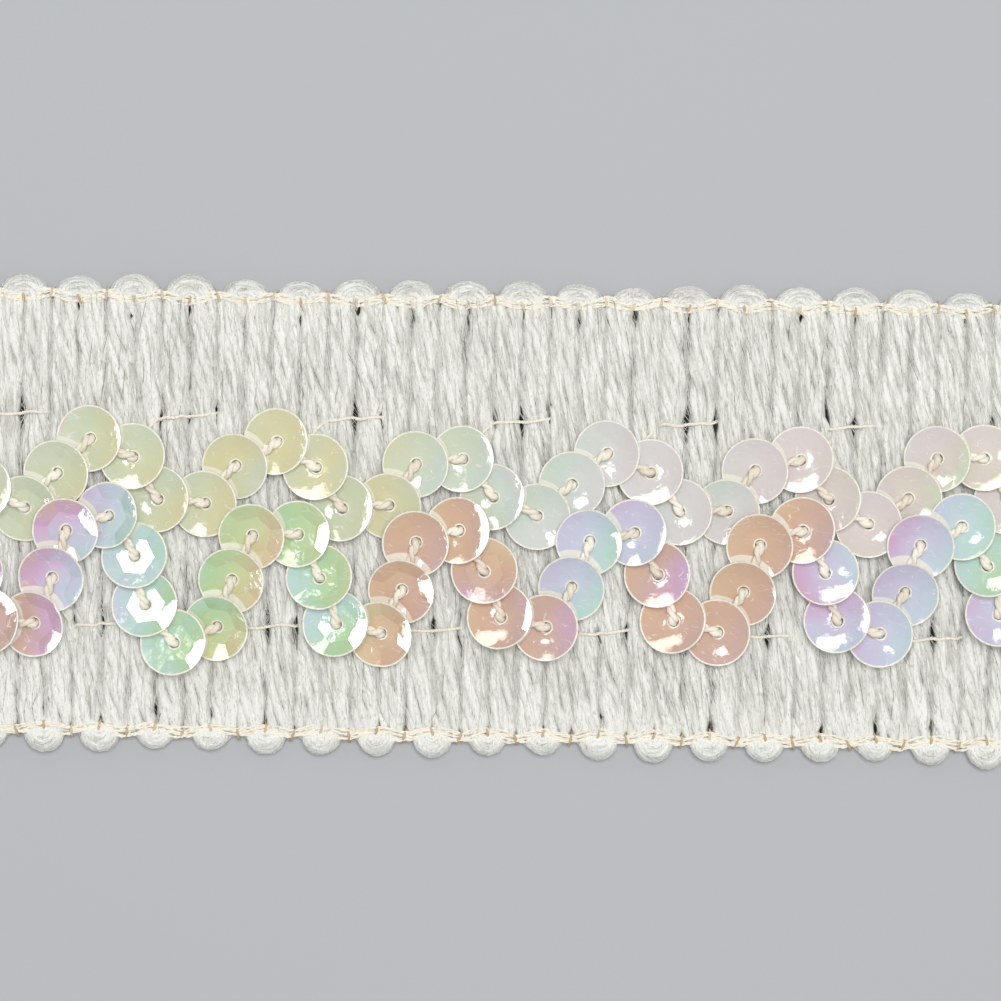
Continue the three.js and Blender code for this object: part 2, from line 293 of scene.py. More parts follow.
def strands(name, paths, radii, tones, sides):
    """One mesh of many closed tubes. Each path is a list of points, with a radius for all of
    them or for each, and a tone between 0, shaded, and 1, bright."""
    counts = [len(path) for path in paths]
    points = np.concatenate([np.asarray(path, float) for path in paths]) * MM
    thickness = np.concatenate([np.broadcast_to(r, n) for r, n in zip(radii, counts)]) * MM
    tone = np.repeat(np.asarray(tones, float), counts)
    starts = np.cumsum([0] + counts[:-1])
    edges = np.concatenate([
        start + np.stack([np.arange(n - 1), np.arange(1, n)], axis=1)
        for start, n in zip(starts, counts)
    ])
    lines = bpy.data.meshes.new(name + "_lines")
    lines.from_pydata(points.tolist(), edges.tolist(), [])
    set_values(lines, "thickness", thickness)
    set_values(lines, "tone", tone)
    laid = add_object(name + "_lines", lines)
    laid.modifiers.new("strands", "NODES").node_group = strand_nodes(sides)
    graph = bpy.context.evaluated_depsgraph_get()
    mesh = bpy.data.meshes.new_from_object(laid.evaluated_get(graph), depsgraph=graph)
    bpy.data.objects.remove(laid)
    mesh.name = name
    return add_object(name, mesh)


class Gathered:
    """Strands gathered for one piece."""

    def __init__(self):
        self.paths = []
        self.radii = []
        self.tones = []

    def add(self, paths, radius, tone):
        self.paths += paths
        self.radii += [radius] * len(paths)
        self.tones += [tone] * len(paths)

    def make(self, name, sides):
        return strands(name, self.paths, self.radii, self.tones, sides)


def add_object(name, data):
    made = bpy.data.objects.new(name, data)
    bpy.context.scene.collection.objects.link(made)
    return made


def finish_piece(piece, finishes, slot, *nodes):
    """Gives a piece its finishes, ties it to the trim's body, and hides the nodes it stands for."""
    for finish in finishes:
        piece.data.materials.append(finish)
    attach(piece, "root")
    if nodes:
        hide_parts(*nodes)


# How the yarn lies

# A leg is a flat bundle of plies in a slack twist. One turn of the twist is between two lays.
PLY_COUNT = 6
TWIST_LAYS = (12.5, 21.0)
BUNDLE_HALF = 0.93
BUNDLE_MIDDLE = 1.08
BUNDLE_RISE = 0.30
LEG_STRAY = 0.07
SKIN_LOW = 0.6

# The waves of each ply, as length and size. A leg's plies share a longer and smaller one.
SWAY_WAVES = ((11.0, 0.09), (5.2, 0.08), (2.7, 0.05))
RISE_WAVES = ((7.0, 0.06), (3.6, 0.06), (2.0, 0.04))
SHARED_LONGER = 2.1
SHARED_SIZE = 0.8

# A binding presses on the yarn and its fluff: how far, and how much narrower, lower and
# thinner it makes the plies.
PRESS_REACH = 0.75
PRESS_NARROW = 0.12
PRESS_LOW = 0.42
PRESS_THIN = 0.22
FLUFF_PRESS_REACH = 0.6

# A tie pulls its two legs together, pushes the next ones away and sinks them all. It holds
# the fluff down as far as its thread reaches.
TIE_ACROSS = 1.25
TIE_PULL, TIE_PULL_REACH = 0.76, 1.2
TIE_PUSH, TIE_PUSH_REACH, TIE_PUSH_PLACE = 0.30, 0.7, 3.1
TIE_SINK, TIE_SINK_REACH = 0.30, 2.2
TIE_GAP, TIE_NEXT_GAP, TIE_GAP_OFF = 0.36, 0.34, 0.25
TIE_FLUFF, TIE_FLUFF_ACROSS, TIE_FLUFF_ALONG = 0.7, 0.4, 2.8

# An eyelet pushes the plies beside it apart. How open it is and where it lies vary.
EYELET_PUSH, EYELET_PUSH_REACH = 0.46, 0.75
EYELET_GAP = 0.5
EYELET_ACROSS = 0.6
EYELET_OPEN, EYELET_OPEN_RANGE = 0.72, 0.28
EYELET_STRAY_ACROSS, EYELET_STRAY_ALONG = 0.35, 0.25

# A scallop is a loop of the same bundle. It is wider or deeper on one edge than the other.
LOOP_MIDDLE = 0.82
LOOP_REACH = 1.16
LOOP_HEIGHT = 1.0
LOOP_RISE = 0.86
LOOP_WIDE_DEEP = {1: (1.12, 0.9), -1: (0.9, 0.98)}
LOOP_PRESS, LOOP_PRESS_REACH = 0.30, 0.5


class YarnLay:
    """Where each ply of the yarn lies, in millimetres."""

    def __init__(self, seed=11):
        self.pitch = size_mm("leg_pitch")
        self.legs = int(round(TRIM_LENGTH / self.pitch))
        self.radius = size_mm("ply_radius")
        random = np.random.default_rng(seed)
        self.sway = random.uniform(0, TURN, (self.legs, PLY_COUNT, len(SWAY_WAVES)))
        self.rise = random.uniform(0, TURN, (self.legs, PLY_COUNT, len(RISE_WAVES)))
        self.drift = random.uniform(0, TURN, (self.legs, len(SWAY_WAVES)))
        self.start = random.uniform(0, TURN, self.legs)
        self.twist = random.uniform(*TWIST_LAYS, self.legs)
        self.off = random.normal(0, LEG_STRAY, self.legs)
        self.ties = [
            (along, tie["across"])
            for tie in (FAR_TIE, NEAR_TIE)
            for along in self.repeats(tie["along"], TIE_PERIOD)
        ]

    def repeats(self, first, step):
        """The places along the trim of something that repeats."""
        before = math.floor((first + HALF_LENGTH) / step)
        places = np.arange(first - before * step, HALF_LENGTH, step)
        return [float(place) for place in places]

    def from_scallop(self, x, side):
        """Distance along the trim from the nearest scallop's middle."""
        middle = np.where(side > 0, self.pitch, 0.0)
        return (x - middle + self.pitch) % (2 * self.pitch) - self.pitch

    def eyelet(self, x, y):
        """Distance from an eyelet, and how far it is open, from 0 to 1. An eyelet lies just
        inside the binding at each scallop's middle. Sines of its number make each one differ."""
        off = self.from_scallop(x, np.sign(y))
        number = np.round((x - off) / self.pitch) + 0.4 * np.sign(y)
        line = EYELET_LINE + EYELET_STRAY_ACROSS * np.sin(5.1 * number)
        opening = EYELET_OPEN + EYELET_OPEN_RANGE * np.sin(2.4 * number)
        off = off + EYELET_STRAY_ALONG * np.sin(3.3 * number)
        return off, opening * hill(np.abs(y) - line, EYELET_ACROSS)

    def drawn(self, x, y):
        """How far the ties and the eyelets draw a ply along the trim, and the ties sink it."""
        shift = np.zeros(np.broadcast(x, y).shape)
        sink = np.zeros_like(shift)
        for along, across in self.ties:
            apart = x - along
            away = np.sign(apart)
            near = hill(y - across, TIE_ACROSS)
            from_leg = np.abs(apart) - 0.5 * self.pitch
            from_next = np.abs(apart) - TIE_PUSH_PLACE
            shift -= TIE_PULL * away * from_leg * hill(from_leg, TIE_PULL_REACH) * near
            shift += TIE_PUSH * away * hill(from_next, TIE_PUSH_REACH) * near
            sink += TIE_SINK * hill(apart, TIE_SINK_REACH) * near
        off, opening = self.eyelet(x, y)
        shift += EYELET_PUSH * np.sign(off) * np.exp(-np.abs(off) / EYELET_PUSH_REACH) * opening
        return shift, sink

    def hole(self, x, y):
        """Nearness to a gap between legs that a tie or an eyelet opens, from 0 to 1."""
        off, opening = self.eyelet(x, y)
        near = opening * hill(off, EYELET_GAP)
        for along, across in self.ties:
            apart = np.abs(x - along)
            gaps = np.maximum(hill(apart, TIE_GAP), hill(apart - self.pitch, TIE_NEXT_GAP))
            near = np.maximum(near, gaps * hill(y - across - TIE_GAP_OFF, TIE_ACROSS))
        return near

    def pressed(self, x, y):
        """How closely a thread holds the fluff down, from 0 to 1."""
        held = hill(np.abs(y) - BINDING_LINE, FLUFF_PRESS_REACH)
        for along, across in self.ties:
            near = TIE_FLUFF * hill(y - across, TIE_FLUFF_ACROSS)
            held = np.maximum(held, near * hill(x - along, TIE_FLUFF_ALONG) ** 2)
        return held

    def held_down(self, y):
        """How much the edge binding presses the yarn down, from 0 to 1."""
        return hill(np.abs(y) - BINDING_LINE, PRESS_REACH)

    def ply(self, leg, ply, y):
        """The middle of a ply of a leg where it crosses the line y: along and height. The
        plies of a leg are laid into a flat, slack twist."""
        leg, ply, y = np.broadcast_arrays(leg, ply, y)
        turned = self.start[leg] + TURN * (ply / PLY_COUNT - y / self.twist[leg])
        sway = sum(
            size * np.sin(TURN * y / wave + self.sway[leg, ply, k])
            + SHARED_SIZE * size * np.sin(TURN * y / (SHARED_LONGER * wave) + self.drift[leg, k])
            for k, (wave, size) in enumerate(SWAY_WAVES)
        )
        rise = sum(
            size * np.sin(TURN * y / wave + self.rise[leg, ply, k])
            for k, (wave, size) in enumerate(RISE_WAVES)
        )
        held = self.held_down(y)
        even = (leg + 0.5) * self.pitch - HALF_LENGTH + self.off[leg]
        x = even + (BUNDLE_HALF * np.sin(turned) + sway) * (1 - PRESS_NARROW * held)
        shift, sink = self.drawn(x, y)
        height = BUNDLE_MIDDLE + BUNDLE_RISE * np.cos(turned) + rise
        return x + shift, height * (1 - PRESS_LOW * held) - sink

    def skin(self, x, y):
        """Height of the top of the plies at a place."""
        top = np.full(np.broadcast(x, y).shape, SKIN_LOW)
        here = np.floor((x + HALF_LENGTH) / self.pitch).astype(int)
        for beside in (-1, 0, 1):
            leg = np.clip(here + beside, 0, self.legs - 1)
            for ply in range(PLY_COUNT):
                middle, height = self.ply(leg, ply, y)
                inside = self.radius**2 - (x - middle) ** 2
                crown = height + np.sqrt(np.maximum(inside, 0))
                top = np.maximum(top, np.where(inside > 0, crown, SKIN_LOW))
        return top

    def scallops(self):
        """Each scallop's middle along the trim and its side."""
        far = [(x, 1) for x in self.repeats(self.pitch, 2 * self.pitch)]
        near = [(x, -1) for x in self.repeats(0.0, 2 * self.pitch)]
        return far + near

    def loop(self, middle, side, lean, around, inset):
        """A point of a scallop. lean goes from its top, 0, out over its edge, a quarter turn,
        around goes once over it from leg to leg, and inset is the depth below its skin."""
        fullness = 1 + 0.06 * np.sin(2.3 * middle + side) + 0.04 * np.sin(5.9 * middle)
        wide, deep = LOOP_WIDE_DEEP[side]
        spread = LOOP_MIDDLE + (LOOP_REACH * fullness - inset) * np.sin(lean)
        height = LOOP_HEIGHT + (LOOP_RISE - inset) * np.cos(lean)
        x = on_trim(middle - wide * spread * np.cos(around))
        y = BINDING_LINE + deep * fullness * spread * np.sin(around)
        z = height * (1 - LOOP_PRESS * hill(y - BINDING_LINE, LOOP_PRESS_REACH))
        return np.stack(np.broadcast_arrays(x, side * y, z), axis=-1)


# The ground, the yarn's inside: its faces to a leg and across, the heights of its ridges and
# of its lowest places, how a binding and a hole lower it, and how its edge is domed.
GROUND_STEPS, GROUND_ROWS = 6, 56
GROUND_TOP, GROUND_LOW = 1.35, 0.28
GROUND_ROUND = 0.6
GROUND_PRESS = 0.45
GROUND_HOLE = 0.95
GROUND_RIM = 0.93
GROUND_INSET = 0.3
SCALLOP_HALF = 0.72
NOTCH_DOME, SCALLOP_DOME, DOME_REACH = 0.8, 1.45, 0.6

# Tones of the ground's edge and back, and of its inside. The inside is painted dark, and darker
# still low down and at the holes: painted shade where it lies in shade under the plies.
EDGE_TONE, PAINTED_SHADE_TONE, LOW_SHADE, HOLE_SHADE = 0.8, 0.15, 0.3, 0.4
SHADE_FROM, SHADE_OVER = 1.3, 0.9


def ground_height(lay, x, y):
    """Height of the yarn's inside, under its plies."""
    leg_share = np.abs(((x + HALF_LENGTH) / lay.pitch) % 1 - 0.5) * 2
    ridge = GROUND_TOP * np.sqrt(np.maximum(1 - GROUND_ROUND * leg_share**2, 0))
    pressed = ridge * (1 - GROUND_PRESS * lay.held_down(y)) - lay.drawn(x, y)[1]
    return np.maximum(pressed - GROUND_HOLE * lay.hole(x, y), GROUND_LOW)


def ground_point(lay, x, side, share):
    """A point of the ground's top. share goes from 0 in the trim's middle to 1 at its edge."""
    off = min(abs(float(lay.from_scallop(x, side))) / (SCALLOP_HALF * lay.pitch), 1.0)
    bulge = (1 - off**2) ** 0.5
    edge = NOTCH_LINE + (SCALLOP_EDGE - GROUND_INSET - NOTCH_LINE) * bulge
    y = side * share * NOTCH_LINE
    if share >= GROUND_RIM:
        rim_share = (share - GROUND_RIM) / (1 - GROUND_RIM)
        y = side * blend_between(GROUND_RIM * NOTCH_LINE, edge, rim_share)
    out = np.clip((abs(y) - NOTCH_LINE) / max(edge - NOTCH_LINE, 1e-3), 0, 1)
    dome = blend_between(NOTCH_DOME, SCALLOP_DOME, bulge) * math.sqrt(1 - GROUND_ROUND * out**2)
    dome_share = np.clip((abs(y) - BINDING_LINE) / DOME_REACH, 0, 1)
    return x, y, blend_between(float(ground_height(lay, x, y)), dome, dome_share)


def make_ground():
    """The inside of the yarn band: a ridged sheet with scalloped edges and a flat back."""
    lay = YarnLay()
    ground = bmesh.new()
    bmesh.ops.create_grid(ground, x_segments=lay.legs * GROUND_STEPS, y_segments=GROUND_ROWS,
                          size=1.0)
    for vertex in ground.verts:
        place = ground_point(lay, vertex.co.x * HALF_LENGTH, np.sign(vertex.co.y), abs(vertex.co.y))
        vertex.co = Vector(place) * MM
    outer = ground.verts.layers.float.new("outer")
    rim = [edge for edge in ground.edges if edge.is_boundary]
    for edge in rim:
        edge.verts[0][outer] = edge.verts[1][outer] = 1.0
    walls = bmesh.ops.extrude_edge_only(ground, edges=rim)["geom"]
    for vertex in (part for part in walls if isinstance(part, bmesh.types.BMVert)):
        vertex.co.z = 0
        vertex[outer] = 1.0
    bmesh.ops.edgeloop_fill(ground, edges=[edge for edge in ground.edges if edge.is_boundary])
    bmesh.ops.triangulate(ground, faces=[face for face in ground.faces if len(face.verts) > 4])
    bmesh.ops.recalc_face_normals(ground, faces=ground.faces)
    mesh = bpy.data.meshes.new("yarn_ground")
    ground.to_mesh(mesh)
    ground.free()
    mesh.shade_smooth()
    x, y, z = np.array([vertex.co for vertex in mesh.vertices]).T / MM
    shown = np.array([value.value for value in mesh.attributes["outer"].data])
    # Painted shade: the inside is painted dark, darker low down and at the holes; its edge and back
    # keep the edge tone.
    low = np.clip((SHADE_FROM - z) / SHADE_OVER, 0, 1)
    inside = PAINTED_SHADE_TONE - LOW_SHADE * low - HOLE_SHADE * lay.hole(x, y)
    set_values(mesh, "tone", np.where(shown > 0.5, EDGE_TONE, inside))
    return add_object("yarn_ground", mesh)


# Where a leg's plies end, their points along and their lumps. A scallop's plies go round it
# by an angle in degrees, and each leans out over its edge by another.
LEG_END, LEG_POINTS = 19.7, 41
LUMP_SIZE, LUMP_LENGTHS = 0.12, (2.5, 6)
SCALLOP_TURN, SCALLOP_POINTS = (-14, 194), 12
SCALLOP_LEANS = (-62, -34, -6, 20, 46, 74, 106)
SCALLOP_PLY = 0.36


def make_plies():
    """The plies of every leg, and the plies that turn round every scallop."""
    lay = YarnLay()
    random = np.random.default_rng(5)
    gathered = Gathered()
    y = np.linspace(-LEG_END, LEG_END, LEG_POINTS)
    for leg in range(lay.legs):
        for ply in range(PLY_COUNT):
            x, z = lay.ply(leg, ply, y)
            wave = TURN * y / random.uniform(*LUMP_LENGTHS)
            lumps = 1 + LUMP_SIZE * np.sin(wave + random.uniform(0, TURN))
            radius = lay.radius * lumps * (1 - PRESS_THIN * lay.held_down(y))
            path = np.stack([on_trim(x), y, z], axis=1)
            gathered.add([path], radius, random.uniform(0.6, 0.9))
    around = np.radians(np.linspace(*SCALLOP_TURN, SCALLOP_POINTS))
    for middle, side in lay.scallops():
        for lean in np.radians(SCALLOP_LEANS):
            path = lay.loop(middle, side, lean + random.normal(0, 0.06), around, SCALLOP_PLY)
            # Painted light: the scallops' plies get a higher tone than the legs' plies, against the
            # shade on their domes.
            gathered.add([path], 1.06 * SCALLOP_PLY, random.uniform(0.8, 1.0))
    return gathered.make("yarn_plies", 6)


# A fibre's points, and how its thickness tapers from point to point.
FIBRE_TAPER = np.array((0.35, 0.95, 1.0, 0.95, 0.35))
FIBRE_POINTS = len(FIBRE_TAPER)
FIBRE_LENGTHS = (1.6, 5.5)
FIBRE_LINE, FIBRE_END = 19.6, 19.9
FIBRE_TIP_DROP = 0.08
FIBRE_LIFT, FIBRE_STRAY_LIFT = 0.08, 0.18

# The fibres of a leg lean with its twist, and about a third of them lie over the hollows
# beside it. They bridge small dips, some lie high over a binding, and few cover a hole.
FIBRE_LEAN, FIBRE_LEAN_CHANGE, FIBRE_LEAN_STRAY = -0.10, -0.06, 0.10
FIBRE_SPREAD, FIBRE_BOW = 1.3, 0.10
HOLLOW_SHARE, HOLLOW_PLACE, HOLLOW_STRAY = 0.35, 1.25, 0.16
BRIDGE_HALF, BRIDGE_DROP, BRIDGE_HOLE = 0.4, 0.08, 0.6
OVER_BINDING_SHARE, OVER_BINDING, OVER_BINDING_REACH = 0.6, (0.36, 0.6), 0.5
HOLE_STAYS_OPEN = 0.8

# The fibres of a scallop, in degrees: how they lean out over its edge, how far they turn
# round it and where they may begin and end.
OUTWARD_LEANS = (-60, 120)
ROUND_TURNS = (50, 150)
ROUND_FROM, ROUND_TO = -25, 205

# How thick and how bright fibres are. The scallops' fibres are painted brighter, painted light
# against the shade on their domes, and all fibres are painted brighter between the sequins, painted
# light against the shade the cups cast there.
FIBRE_THICKNESS = (0.6, 1.5)
LEG_TONE, SCALLOP_PAINTED_LIGHT_TONE, TONE_STRAY, MOST_TONE = 0.72, 1.06, 0.36, 1.3
PAINTED_LIGHT, PAINTED_LIGHT_LINE, PAINTED_LIGHT_REACH = 0.2, -2, 8.0


def fibre_lines(lay, random, legs, per_leg):
    """Fine fibres seen from above: each follows its leg's twist. Also each point's share of
    the way along its fibre."""
    count = len(legs) * per_leg
    each = (count, 1)
    middle = (np.repeat(legs, per_leg)[:, None] + 0.5) * lay.pitch - HALF_LENGTH
    length = random.uniform(*FIBRE_LENGTHS, each)
    start = random.uniform(-FIBRE_LINE, FIBRE_LINE - 0.7 * length)
    share = np.linspace(0, 1, FIBRE_POINTS)[None, :]
    y = np.clip(start + length * share, -FIBRE_END, FIBRE_END)
    lean = FIBRE_LEAN + FIBRE_LEAN_CHANGE * np.tanh((middle + 12) / 20)
    lean = lean + random.normal(0, FIBRE_LEAN_STRAY, each)
    bow = random.normal(0, FIBRE_BOW, each)
    hollow = np.where(random.random(each) < HOLLOW_SHARE, HOLLOW_PLACE, 0.0)
    hollow = hollow * random.choice((-1, 1), each)
    on_leg = random.uniform(-FIBRE_SPREAD, FIBRE_SPREAD, each)
    beside = hollow + random.normal(0, HOLLOW_STRAY, each)
    x = middle + np.where(hollow == 0, on_leg, beside) + lean * length * (share - 0.5)
    x = x + bow * np.sin(TURN * share * random.uniform(0.4, 1.1, each))
    return on_trim(x + 0.8 * lay.drawn(x, y)[0]), y, share


def leg_fibres(lay, random, legs, per_leg):
    """Fine fibres laid on the legs: they bridge the hollows, and some lie over a binding."""
    x, y, share = fibre_lines(lay, random, legs, per_leg)
    each = (len(x), 1)
    holes = lay.hole(x, y)
    beside = np.minimum(lay.skin(x - BRIDGE_HALF, y), lay.skin(x + BRIDGE_HALF, y))
    skin = np.maximum(lay.skin(x, y), beside - BRIDGE_DROP - BRIDGE_HOLE * holes)
    z = skin.copy()
    eased = 0.35 * (skin[:, :-2] + skin[:, 2:]) + 0.3 * skin[:, 1:-1]
    z[:, 1:-1] = np.maximum(skin[:, 1:-1], eased)
    z[:, 0] -= FIBRE_TIP_DROP
    z[:, -1] -= FIBRE_TIP_DROP
    over = (random.random(each) < OVER_BINDING_SHARE) * random.uniform(*OVER_BINDING, each)
    over = over * hill(np.abs(y) - BINDING_LINE, OVER_BINDING_REACH)
    z += over * hill(share - 0.5, 0.6)
    lift = random.uniform(0.0, FIBRE_LIFT, each) + FIBRE_STRAY_LIFT * random.random(each) ** 3
    kept = holes.max(axis=1) * random.uniform(0.5, 1.5, len(x)) < HOLE_STAYS_OPEN
    z = z + lift * np.sin(math.pi * share) * (1 - lay.pressed(x, y))
    return np.stack([x, y, z], axis=2)[kept]


def scallop_fibres(lay, random, per_scallop):
    """Fine fibres round the scallops."""
    paths = []
    each = (per_scallop, 1)
    share = np.linspace(0, 1, FIBRE_POINTS)[None, :]
    for middle, side in lay.scallops():
        lean = np.radians(random.uniform(*OUTWARD_LEANS, each))
        turned = np.radians(random.uniform(*ROUND_TURNS, each))
        begin = random.uniform(math.radians(ROUND_FROM), math.radians(ROUND_TO) - turned)
        lean = lean + random.normal(0, 0.4, each) * (share - 0.5)
        stray = 0.12 * random.random(each) ** 2 * np.sin(math.pi * share)
        paths.append(lay.loop(middle, side, lean, begin + turned * share, -0.02 - stray))
    return np.concatenate(paths)


def fibre_piece(name, paths, random, tone):
    """One mesh of fibres, of about the tone that is asked."""
    thick = random.uniform(*FIBRE_THICKNESS, (len(paths), 1))
    thick = size_mm("fibre_radius") * thick * FIBRE_TAPER
    # Painted light: fibres near the line between the two strings are painted brighter, against the
    # shade the cups cast there.
    between = hill(paths[:, FIBRE_POINTS // 2, 1] - PAINTED_LIGHT_LINE, PAINTED_LIGHT_REACH) ** 2
    tones = random.normal(tone, TONE_STRAY, len(paths)) + PAINTED_LIGHT * between
    tones = np.clip(tones, 0, MOST_TONE)
    return strands(name, list(paths), list(thick), tones, 3)


def make_fibres():
    """The fluff of the yarn, in three stretches of legs and one piece for the scallops."""
    lay = YarnLay()
    random = np.random.default_rng(23)
    made = []
    stretches = np.array_split(np.arange(lay.legs), 3)
    for label, legs in zip(("left", "middle", "right"), stretches):
        paths = leg_fibres(lay, random, legs, count_of("fibres_per_leg"))
        made.append(fibre_piece("leg_fibres_" + label, paths, random, LEG_TONE))
    paths = scallop_fibres(lay, random, count_of("fibres_per_scallop"))
    made.append(fibre_piece("scallop_fibres", paths, random, SCALLOP_PAINTED_LIGHT_TONE))
    return made


# Threads

# A binding is a chain of loops with a knot at each link and three threads along it. Its line waves
# in at the scallops, and rises on each leg. The near one is painted a little darker: painted shade
# for the light that falls off toward the near edge.
THREAD_LAY = 1.25
BINDING_PLY = 0.85
BINDING_WAVE = 0.22
BINDING_HEIGHT, BINDING_RISE = 1.12, 0.18
LINK_LAP, LINK_HALVES, LINK_STRAY, LINK_POINTS = 0.3, (0.24, 0.5), 0.07, 26
NEAR_PAINTED_SHADE = 0.2

# A knot's arch, as across and height, and the threads along, as place and length of a wave.
KNOT_ARCH = ((-0.6, 0.7), (-0.42, 1.25), (-0.14, 1.5), (0.14, 1.5), (0.42, 1.25), (0.6, 0.7))
ALONG_THREADS = ((-0.25, 6.3), (0.05, 8.1), (0.3, 4.7))

# A tie thread's arch over its two legs, as along and height, and its end that runs on to the
# sequins, as back, inward and height.
TIE_LAY = 0.8
TIE_SLOPE, TIE_STRAY = 0.09, 0.1
TIE_ARCH = ((-2.75, 0.5), (-2.6, 1.2), (-2.1, 1.66), (-1.2, 1.86), (-0.45, 1.64), (0.0, 1.35),
            (0.45, 1.64), (1.2, 1.86), (2.1, 1.66), (2.6, 1.2), (2.75, 0.5))
TIE_END = 2.6
TIE_RUN = ((0.4, 0.6, 1.95), (1.6, 2.0, 2.1), (2.6, 3.3, 2.15))


def binding_line(lay, x, side):
    """The binding's middle across the trim: drawn in at the scallops, out in the notches."""
    off = lay.from_scallop(x, side)
    return side * (BINDING_LINE - BINDING_WAVE * np.cos(TURN * off / (2 * lay.pitch)))


def binding_height(lay, x):
    """Height of the yarn's top under a binding: high on each leg, low between two."""
    along_leg = ((x + HALF_LENGTH) / lay.pitch) % 1
    return BINDING_HEIGHT + BINDING_RISE * np.sin(math.pi * along_leg) ** 0.7


def binding_link(lay, random, start, side, radius):
    """One loop of a binding's chain, which laps the next."""
    wide = random.uniform(*LINK_HALVES)
    around = np.linspace(0, TURN, LINK_POINTS)
    link = (lay.pitch + LINK_LAP) * (1 - np.cos(around)) / 2
    x = on_trim(start + link)
    y = binding_line(lay, x, side) + wide * np.sin(around) + random.normal(0, LINK_STRAY)
    z = binding_height(lay, x) + radius * (1.2 + 0.5 * np.sin(math.pi * link / lay.pitch))
    return np.stack([x, y, z], axis=1)


def binding_knot(lay, start, side, tilt):
    """The short stitch over the place where two loops meet."""
    base = float(binding_line(lay, start, side))
    arch = [(start + tilt * across, base + across, height) for across, height in KNOT_ARCH]
    return smooth_path(within_ends(arch), 0.15)


def make_binding(name, side):
    """One edge binding: a chain of thread loops, a knot at each link and threads along it."""
    lay = YarnLay()
    random = np.random.default_rng(41 + side)
    gathered = Gathered()
    radius = BINDING_PLY * size_mm("thread_radius")
    # Painted shade: the near binding's tones are lowered, for the light that falls off toward the
    # near edge.
    near_shade = 0.0 if side > 0 else NEAR_PAINTED_SHADE
    for leg in range(lay.legs):
        start = leg * lay.pitch - HALF_LENGTH
        link = binding_link(lay, random, start, side, radius)
        plies = twisted(link, UP, 0.8 * radius, THREAD_LAY, random.uniform(0, TURN))
        gathered.add(plies, radius, random.uniform(0.75, 1.0) - near_shade)
        # Painted shade: the knots get a low tone, so they are painted darker tan where the threads
        # dip and cross.
        knot = binding_knot(lay, start, side, random.uniform(-0.5, 0.5))
        plies = twisted(knot, (1, 0, 0), 0.75 * radius, THREAD_LAY)
        gathered.add(plies, radius, random.uniform(-0.15, 0.45) - near_shade)
    x = np.linspace(-HALF_LENGTH, HALF_LENGTH, lay.legs * 8 + 1)
    for line, wave in ALONG_THREADS:
        sway = 0.11 * np.sin(TURN * x / wave + line) + 0.07 * np.sin(TURN * x / 2.9 + wave)
        y = binding_line(lay, x, side) + line + sway
        core = np.stack([x, y, binding_height(lay, x) + 1.3 * radius], axis=1)
        plies = twisted(core, UP, 0.8 * radius, THREAD_LAY, wave)
        gathered.add(plies, radius, random.uniform(0.8, 1.0) - near_shade)
    return gathered.make(name, 4)


def make_ties():
    """The tie threads: each spans two legs, and one end runs on to the sequins."""
    lay = YarnLay()
    random = np.random.default_rng(61)
    gathered = Gathered()
    radius = size_mm("thread_radius")
    for along, across in lay.ties:
        wave = random.normal(0, TIE_STRAY, len(TIE_ARCH))
        span = [
            (along + off, across + TIE_SLOPE * off + wave[k], height)
            for k, (off, height) in enumerate(TIE_ARCH)
        ]
        inward = -1 if across > 0 else 1
        end = along - TIE_END
        run = [(end, across - 0.2, 1.0)]
        run += [(end - back, across + inward * away, height) for back, away, height in TIE_RUN]
        for line in (span, run):
            path = smooth_path(within_ends(line), 0.2)
            plies = twisted(path, (0, 1, 0), 0.8 * radius, TIE_LAY)
            gathered.add(plies, radius, random.uniform(0.95, 1.15))
    return gathered.make("tie_threads", 4)


# Sequins

# A cup: its hole with the lip round it, its floor, its cut edge and its sides. Crisp cups
# have a leveller floor, worn ones round sides that rise a little later.
HOLE_RADIUS = 0.47
HOLE_BAND = 0.62
HOLE_LIP = 0.76
LIP_DROP = 0.05
FLOOR_HALF = 1.53
FLOOR_SLOPE = 0.06
CRISP_LEVELS = 0.85
ROUND_SHARE = 0.955
EDGE_BAND, EDGE_SPARE = 0.13, 0.02
CUP_SIDES = 6
RIM_STEPS = 36

# How the cups lap: the slope of one on the next, how near two have to lie to meet, the room
# between them, how low a floor may rest and how wide it is there.
LAP_SLOPE = 0.2
LEAN_STRAY = 0.06
MEET_SPARE = 0.1
CLEAR = 0.17
CUP_REST = 2.56
REST_HALF = 1.5

# Settling: the rings of places that are tried on each cup, as shares of its radius, how far
# a round tips and lifts a cup that is short of room, and when it is done.
SETTLE_ROUNDS = 120
SETTLE_RINGS = (1.0, 0.8, 0.55)
SETTLE_RING_PLACES = 24
SETTLE_TIP, SETTLE_LIFT = 0.22, 0.45
SETTLE_DONE = 0.004
MOST_LEAN = 0.40
REACH_SPARE = 0.01

# How much a cup bows, and how crisp it is. Crisper cups lie about one place along the trim.
CUP_BOW = 0.03
CRISP_USUAL, CRISP_STRAY = 0.24, 0.16
CRISP_EXTRA = {"far": 0.12, "near": 0.78}
CRISP_PLACE, CRISP_REACH = -32, 26
WORN_BELOW = 0.6
CREASE_ANGLES = (35, 11)

# How the pearl's phase runs over a cup: which way, how steeply, and what each flat adds to
# it. It is livelier about one place along the trim. Each cup has its own part of the pattern.
PEARL_WAY = (-0.5, 0.5)
PHASE_STRAY = 0.03
PHASE_SLOPES = (0.018, 0.052)
FACET_PLAY, LIVELY_PLAY, LIVELY_SLOPE = 0.012, 0.2, 0.5
LIVELY_PLACE, LIVELY_REACH = -42, 24
DISC_APART = 9.0


